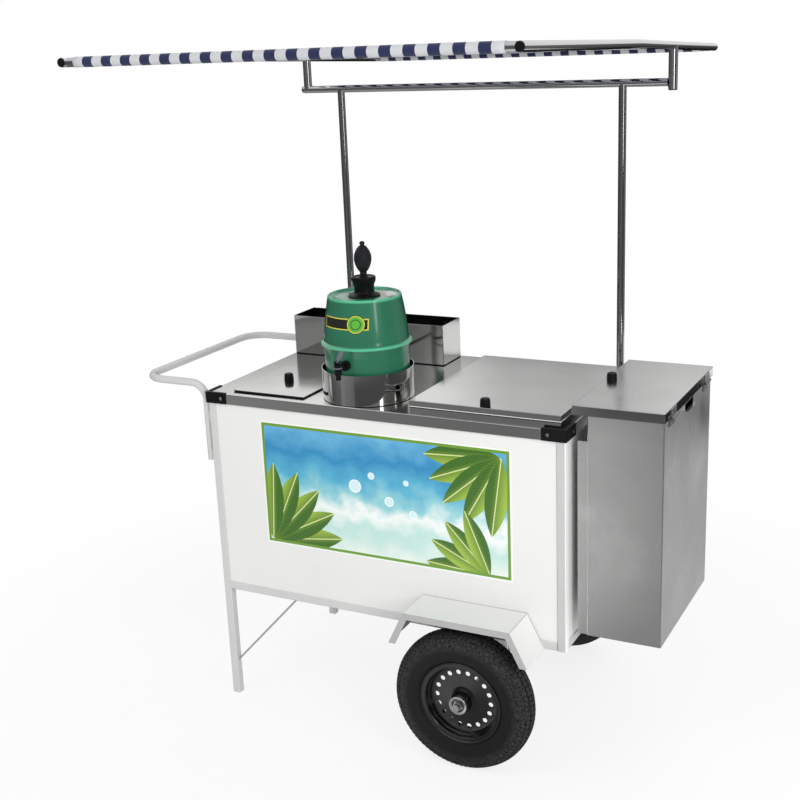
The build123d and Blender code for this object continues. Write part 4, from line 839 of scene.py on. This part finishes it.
def bulbProfile():
    # Heights above the bulb's own foot: neck with a bead, pear-shaped bulb, valve nub
    neck = [(0, 0), (8.4, 0), (9, 0.8), (9, 5), (9.8, 6.6), (9.8, 8.4), (9, 10)]
    lower = bend((9.2, 11.6), (19.5, 22), (23.2, 40), 9)
    upper = bend((23.8, 44), (25.6, 66), (9.6, 82.2), 12)
    nub = [(7.2, 83.2), (6, 84.4), (5.8, 86), (7, 87), (7.1, 91.5), (6.3, 93.4), (4.6, 94.6), (2.4, 95),
           (1.9, 94), (0, 93.6)]
    return neck + lower + upper + nub


mouth = Matrix.Translation(kegFoot + Vector((0, 0, keg["top"])) * millimetre)
stopper = turnedPiece("kegStopper", stopperProfile(), stopperTurn["segments"], mouth, blackPlastic,
                      stopperTurn["sharp"])
settle(stopper, "stopper", "black_plastic", "keg_stopper")
bulbFoot = Matrix.Translation((kegFoot.x, kegFoot.y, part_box("pump_bulb")[0][2]))
bulb = turnedPiece("squeezeBulb", bulbProfile(), bulbTurn["segments"], bulbFoot, blackRubber,
                   bulbTurn["sharp"])
settle(bulb, "stopper", "black_rubber", "pump_bulb")

tapRing = {"profile": [(10.2, 2), (11.4, 2.4), (11.8, 4), (11.4, 5.6), (10.2, 6)], "body": 10,
           "segments": 40, "sharp": 50}
tapSpot = Matrix.Translation((kegFoot.x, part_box("tap_body")[0][1] + tapRing["body"] * millimetre,
                              kegFoot.z + kegTap["height"] * millimetre))
ring = turnedPiece("tapRing", tapRing["profile"], tapRing["segments"], tapSpot, leverPlastic,
                   tapRing["sharp"], loop=True)
settle(ring, "keg", "grey_plastic")
print("keg done")

# Lid knobs: turned barrels, widest at the foot, with a bevelled top

knob = {"segments": 48, "sharp": 40,
        "profile": [(0, 0), (13.5, 0), (13.9, 0.6), (13.9, 3), (13.7, 8), (13.3, 13), (12.8, 16.5),
                    (12.2, 18.8), (11.4, 20.2), (10.4, 20.9), (9.2, 21), (8.4, 20.7), (0, 20.6)]}
for lid in ("storage", "ice", "bin"):
    node = lid + "_lid_knob"
    foot = Matrix.Translation((*boxMiddle(node).xy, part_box(node)[0][2]))
    piece = turnedPiece(lid + "LidKnob", knob["profile"], knob["segments"], foot, blackPlastic, knob["sharp"])
    settle(piece, lid + "_cover", "black_plastic", node)
print("knobs done")

# Screws of the hinges, set on marked spots by a node tree

screw = {"radius": 3.4, "rise": 0.42, "spread": 16, "half": 25, "leaf": 2, "binStep": 3.5, "binApart": 13,
         "iceApart": 8.5, "segments": 20, "rings": 10}


def screwTree():
    tree, given = nodeTree("screwHeads", {"Radius": "Float", "Turn": "Vector", "Metal": "Material"})
    ball = addNode(tree, "GeometryNodeMeshUVSphere", {"Segments": screw["segments"], "Rings": screw["rings"],
                                                      "Radius": given["Radius"]})
    dome = addNode(tree, "GeometryNodeTransform", {"Geometry": ball, "Scale": (1, 1, screw["rise"])})
    heads = addNode(tree, "GeometryNodeInstanceOnPoints", {"Points": given["Geometry"], "Instance": dome,
                                                           "Rotation": given["Turn"]})
    smooth = addNode(tree, "GeometryNodeSetShadeSmooth", {"Geometry": heads})
    return finishTree(tree, smooth, given["Metal"])


screwHeads = screwTree()


def setScrews(name, body, spots, turn):
    mesh = bpy.data.meshes.new(name)
    mesh.from_pydata(spots, [], [])
    piece = bpy.data.objects.new(name, mesh)
    bpy.context.scene.collection.objects.link(piece)
    applyTree(piece, screwHeads, {"Radius": screw["radius"] * millimetre, "Turn": turn, "Metal": chrome})
    settle(piece, body, "plated_steel")


def hingeSpots(leaves, axis):
    # Places of the screws along a pair of hinges, two on each leaf
    low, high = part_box(leaves)
    middles = [low[axis] + screw["half"] * millimetre, high[axis] - screw["half"] * millimetre]
    return [middle + side * screw["spread"] * millimetre for middle in middles for side in (-1, 1)]


leaf, iceApart, binApart = (screw[name] * millimetre for name in ("leaf", "iceApart", "binApart"))
iceRow, binRow = hingeSpots("ice_lid_hinge_leaves", 0), hingeSpots("bin_lid_hinge_leaves", 1)
iceLevel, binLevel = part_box("ice_lid")[0][2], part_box("bin_lid")[0][2]
iceFlap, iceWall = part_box("ice_lid_hinge_leaves")[0][1] + leaf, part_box("ice_tub")[1][1] + leaf
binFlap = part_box("bin_lid_hinge_leaves")[0][0] + leaf
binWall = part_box("bin_lid")[1][0] - screw["binStep"] * millimetre + leaf
backward, sideways = (math.radians(-90), 0, 0), (0, math.radians(90), 0)
setScrews("iceLidScrews", "ice_cover", [(x, iceFlap, iceLevel + iceApart) for x in iceRow], backward)
setScrews("iceTubScrews", "cart", [(x, iceWall, iceLevel - iceApart) for x in iceRow], backward)
setScrews("binLidScrews", "bin_cover", [(binFlap, y, binLevel + binApart) for y in binRow], sideways)
setScrews("binWallScrews", "cart", [(binWall, y, binLevel - binApart) for y in binRow], sideways)
print("screws done")

# Canopy cloth: sleeves round the front and rear tubes and a sheet that sags a little between them

cloth = {"tube": 11, "gap": 0.4, "thick": 0.8, "sag": 16, "columns": 72, "steps": 90, "wrap": 310,
         "wrapSteps": 28, "billow": 1.4, "wave": 310, "sharp": 60}


def clothLine():
    # Side view of the cloth: places along Y and Z with the share of free span at each
    front, rear = boxMiddle("front_tube"), boxMiddle("rear_tube")
    radius = (cloth["tube"] + cloth["gap"] + cloth["thick"] / 2) * millimetre
    turns = [math.radians(cloth["wrap"] * i / cloth["wrapSteps"]) for i in range(1, cloth["wrapSteps"] + 1)]
    line = [(front.y - radius * math.sin(t), front.z + radius * math.cos(t), 0) for t in reversed(turns)]
    for i in range(cloth["steps"] + 1):
        t = i / cloth["steps"]
        free = 4 * t * (1 - t)
        level = front.z + (rear.z - front.z) * t + radius - cloth["sag"] * millimetre * free
        line.append((front.y + (rear.y - front.y) * t, level, free))
    return line + [(rear.y + radius * math.sin(t), rear.z + radius * math.cos(t), 0) for t in turns]


def canopyCloth():
    line = clothLine()
    low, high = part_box("canopy_fabric")
    bm = bmesh.new()
    rows = []
    for i in range(cloth["columns"] + 1):
        x = low[0] + (high[0] - low[0]) * i / cloth["columns"]
        lift = cloth["billow"] * millimetre * math.sin(2 * math.pi * x / (cloth["wave"] * millimetre))
        rows.append([bm.verts.new((x, y, z + lift * free)) for y, z, free in line])
    for near, far in zip(rows, rows[1:]):
        for j in range(len(line) - 1):
            bm.faces.new((near[j], far[j], far[j + 1], near[j + 1]))
    piece = meshObject("canopyCloth", bm, stripedCanvas(), cloth["sharp"])
    solid = piece.modifiers.new("thickness", "SOLIDIFY")
    solid.thickness = cloth["thick"] * millimetre
    solid.offset = 0
    keepResult(piece, solid)
    settle(piece, "canopy", "striped_cloth", "canopy_fabric")


canopyCloth()
print("canopy done")

# Stage: pale floor, a room seen only in reflections, soft lamps and the camera

floor = {"half": 14, "colour": "#FAFAFA", "share": 0.8, "near": 1.0, "far": 2.2, "glow": "#FFFFFF"}


def floorMaterial():
    # Matt white studio paper that keeps the soft shadow and runs out to plain white
    material, tree, shader, coords = newMaterial("studioPaper", Base_Color=floor["colour"], Roughness=0.9,
                                                 Specular_IOR_Level=0.0)
    away = addNode(tree, "VectorMath", {0: coords}, operation="LENGTH")
    fade = addNode(tree, "MapRange", {"Value": away, "From Min": floor["near"], "From Max": floor["far"],
                                      "To Min": floor["share"]}, interpolation_type="SMOOTHSTEP")
    seen = addNode(tree, "LightPath").outputs["Is Camera Ray"]
    share = addNode(tree, "Math", {0: fade, 1: seen}, operation="MULTIPLY")
    glow = addNode(tree, "Emission", {"Color": floor["glow"], "Strength": 1.0})
    mix = addNode(tree, "MixShader", {0: share, 1: shader, 2: glow})
    plug(tree, tree.nodes["Material Output"], {"Surface": mix})
    return material


bm = bmesh.new()
bmesh.ops.create_grid(bm, x_segments=1, y_segments=1, size=floor["half"])
ground = meshObject("studioFloor", bm, floorMaterial())
ground.visible_glossy = False

# Greys of the room, one sRGB hex pair each, by compass degrees from +Y towards +X: walls below and above a
# level, floor in four rings
room = {"radius": 5, "base": 0.003, "top": 4.2, "segments": 96, "ceiling": "#F0F0F0", "split": (1.85, 2.45),
        "floorSplit": (2.0, 2.5), "rimSplit": (2.95, 3.15), "edgeSplit": (4.0, 4.1),
        "lowWall": [(-180, "66"), (-150, "5A"), (-115, "4C"), (-90, "4C"), (-65, "20"), (-50, "0A"),
                    (5, "0A"), (14, "30"), (28, "5E"), (58, "8A"), (75, "6C"), (100, "48"), (135, "50"),
                    (160, "6E"), (180, "66")],
        # The narrow light stops near -153 degrees paint a highlight line in the steel
        "highWall": [(-180, "8C"), (-154.2, "84"), (-153.6, "E0"), (-152.8, "E0"), (-152.2, "84"),
                     (-105, "78"), (-85, "E6"), (-60, "FA"), (-41, "FF"), (-29, "FF"), (-25, "F6"),
                     (-20, "CC"), (-14, "C4"), (-9.5, "D8"), (-6, "EC"), (0, "E6"), (34, "E0"), (46, "48"),
                     (100, "48"), (122, "8A"), (180, "8C")],
        "nearFloor": [(-180, "F0"), (-161, "E8"), (-156, "D8"), (-140, "A8"), (-40, "A8"), (0, "A0"),
                      (33, "A8"), (45, "BC"), (100, "A8"), (150, "80"), (163, "9A"), (176, "E4"),
                      (180, "F0")],
        "farFloor": [(-180, "C8"), (-172.5, "FF"), (-171, "70"), (-150, "7A"), (-108, "5A"), (-60, "30"),
                     (-20, "80"), (10, "C0"), (60, "C0"), (75, "60"), (150, "60"), (178, "A8"), (180, "C8")],
        "rimFloor": [(-180, "48"), (-172, "4C"), (-171, "6C"), (-150, "7A"), (-141, "88"), (-135, "64"),
                     (-108, "50"), (-104, "D0"), (-98, "D0"), (-94, "4A"), (-40, "20"), (70, "24"),
                     (94, "24"), (97, "E6"), (105, "E6"), (109, "50"), (180, "48")],
        "edgeFloor": [(-180, "6C"), (-165, "7C"), (-148, "86"), (-132, "88"), (-108, "5A"), (-60, "20"),
                      (5, "0A"), (14, "5A"), (20, "F0"), (58, "E6"), (75, "7C"), (110, "5C"), (180, "6C")]}


def roomMaterial():
    # Grey glow that only mirrors and gloss pick up: painted reflections laid out as the dark and light sides
    # of a photographer's hall
    material, tree, shader, coords = newMaterial("reflectedRoom")
    material.cycles.emission_sampling = "NONE"
    tree.nodes.remove(shader)
    place = addNode(tree, "SeparateXYZ", {"Vector": coords}).outputs
    compass = addNode(tree, "Math", {0: place["X"], 1: place["Y"]}, operation="ARCTAN2")
    share = addNode(tree, "Math", {0: compass, 1: 1 / (2 * math.pi), 2: 0.5}, operation="MULTIPLY_ADD")
    parts = ("lowWall", "highWall", "nearFloor", "farFloor", "rimFloor", "edgeFloor")
    tones = {part: addNode(tree, "ValToRGB", {"Fac": share},
                           stops=[(turn / 360 + 0.5, "#" + grey * 3) for turn, grey in room[part]])
             for part in parts}
    flat = addNode(tree, "CombineXYZ", {"X": place["X"], "Y": place["Y"]})
    radius = addNode(tree, "VectorMath", {0: flat}, operation="LENGTH")
    floorSteps = [(radius, room["floorSplit"], tones["farFloor"]),
                  (radius, room["rimSplit"], tones["rimFloor"]),
                  (radius, room["edgeSplit"], tones["edgeFloor"])]
    wallSteps = [(place["Z"], room["split"], tones["highWall"]),
                 (place["Z"], (room["top"] - room["base"], room["top"]), room["ceiling"])]
    sides = []
    for colour, steps in ((tones["lowWall"], wallSteps), (tones["nearFloor"], floorSteps)):
        for value, ends, second in steps:
            blend = addNode(tree, "MapRange", {"Value": value, "From Min": ends[0], "From Max": ends[1]},
                            interpolation_type="SMOOTHSTEP")
            colour = overpaint(tree, colour, [(blend, second)])
        sides.append(colour)
    below = addNode(tree, "Math", {0: place["Z"], 1: room["base"] * 2}, operation="LESS_THAN")
    whole = overpaint(tree, sides[0], [(below, sides[1])])
    glow = addNode(tree, "Emission", {"Color": whole, "Strength": 1.0})
    plug(tree, tree.nodes["Material Output"], {"Surface": glow})
    return material


bm = bmesh.new()
spin(bm, [(0, room["base"]), (room["radius"], room["base"]), (room["radius"], room["top"]), (0, room["top"])],
     room["segments"], Matrix.Identity(4))
hall = meshObject("reflectedRoom", bm, roomMaterial())
for ray in ("camera", "diffuse", "transmission", "volume_scatter", "shadow"):
    setattr(hall, "visible_" + ray, False)

sky = {"fill": 0.58, "colour": "#FFFFFF"}


def buildWorld():
    # Even white light all round, and a plain white backdrop for the camera
    world = bpy.data.worlds.new("softWhite")
    world.use_nodes = True
    tree = world.node_tree
    seen = addNode(tree, "LightPath").outputs["Is Camera Ray"]
    level = addNode(tree, "Math", {0: seen, 1: 1 - sky["fill"], 2: sky["fill"]}, operation="MULTIPLY_ADD")
    plug(tree, tree.nodes["Background"], {"Color": sky["colour"], "Strength": level})
    bpy.context.scene.world = world


buildWorld()

lamps = {"keyLamp": {"spot": (-1.6, -3.4, 3.4), "aim": (0, 0, 0.8), "size": (2.4, 2.4), "power": 48},
         "fillLamp": {"spot": (3.2, -2.2, 2.2), "aim": (0.1, 0, 0.8), "size": (2.4, 2.4), "power": 64},
         "stripLamp": {"spot": (3.0, -2.1, 2.0), "aim": (0, 0, 1.1), "size": (0.4, 1.7), "power": 9},
         "topLamp": {"spot": (0.2, 1.6, 3.8), "aim": (0, 0, 0.9), "size": (2.6, 2.6), "power": 30}}
mirroredLamps = ("stripLamp",)  # the others light the cart but stay out of the steel
for name, lamp in lamps.items():
    light = bpy.data.lights.new(name, "AREA")
    light.shape = "RECTANGLE"
    light.size, light.size_y = lamp["size"]
    light.energy = lamp["power"]
    holder = bpy.data.objects.new(name, light)
    holder.visible_glossy = name in mirroredLamps
    way = Vector(lamp["aim"]) - Vector(lamp["spot"])
    holder.matrix_world = Matrix.Translation(lamp["spot"]) @ way.to_track_quat("-Z", "Y").to_matrix().to_4x4()
    bpy.context.scene.collection.objects.link(holder)

cameraView = {"spot": (1.5627, -3.1236, 1.9232), "yaw": 27.733, "pitch": 16.238, "roll": -2.413,
              "lens": 56.50, "sensor": 36}


def setCamera():
    # Place and turn solved from the photo's worktop, body and wheel
    lens = bpy.data.cameras.new("photoCamera")
    lens.lens = cameraView["lens"]
    lens.sensor_width = cameraView["sensor"]
    holder = bpy.data.objects.new("photoCamera", lens)
    yaw, pitch, roll = (math.radians(cameraView[name]) for name in ("yaw", "pitch", "roll"))
    turn = Matrix.Rotation(yaw, 4, "Z") @ Matrix.Rotation(math.pi / 2 - pitch, 4, "X")
    turn = turn @ Matrix.Rotation(roll, 4, "Z")
    holder.matrix_world = Matrix.Translation(cameraView["spot"]) @ turn
    bpy.context.scene.collection.objects.link(holder)
    bpy.context.scene.camera = holder


setCamera()
scene = bpy.context.scene
scene.view_settings.view_transform = "Standard"
print("stage done")
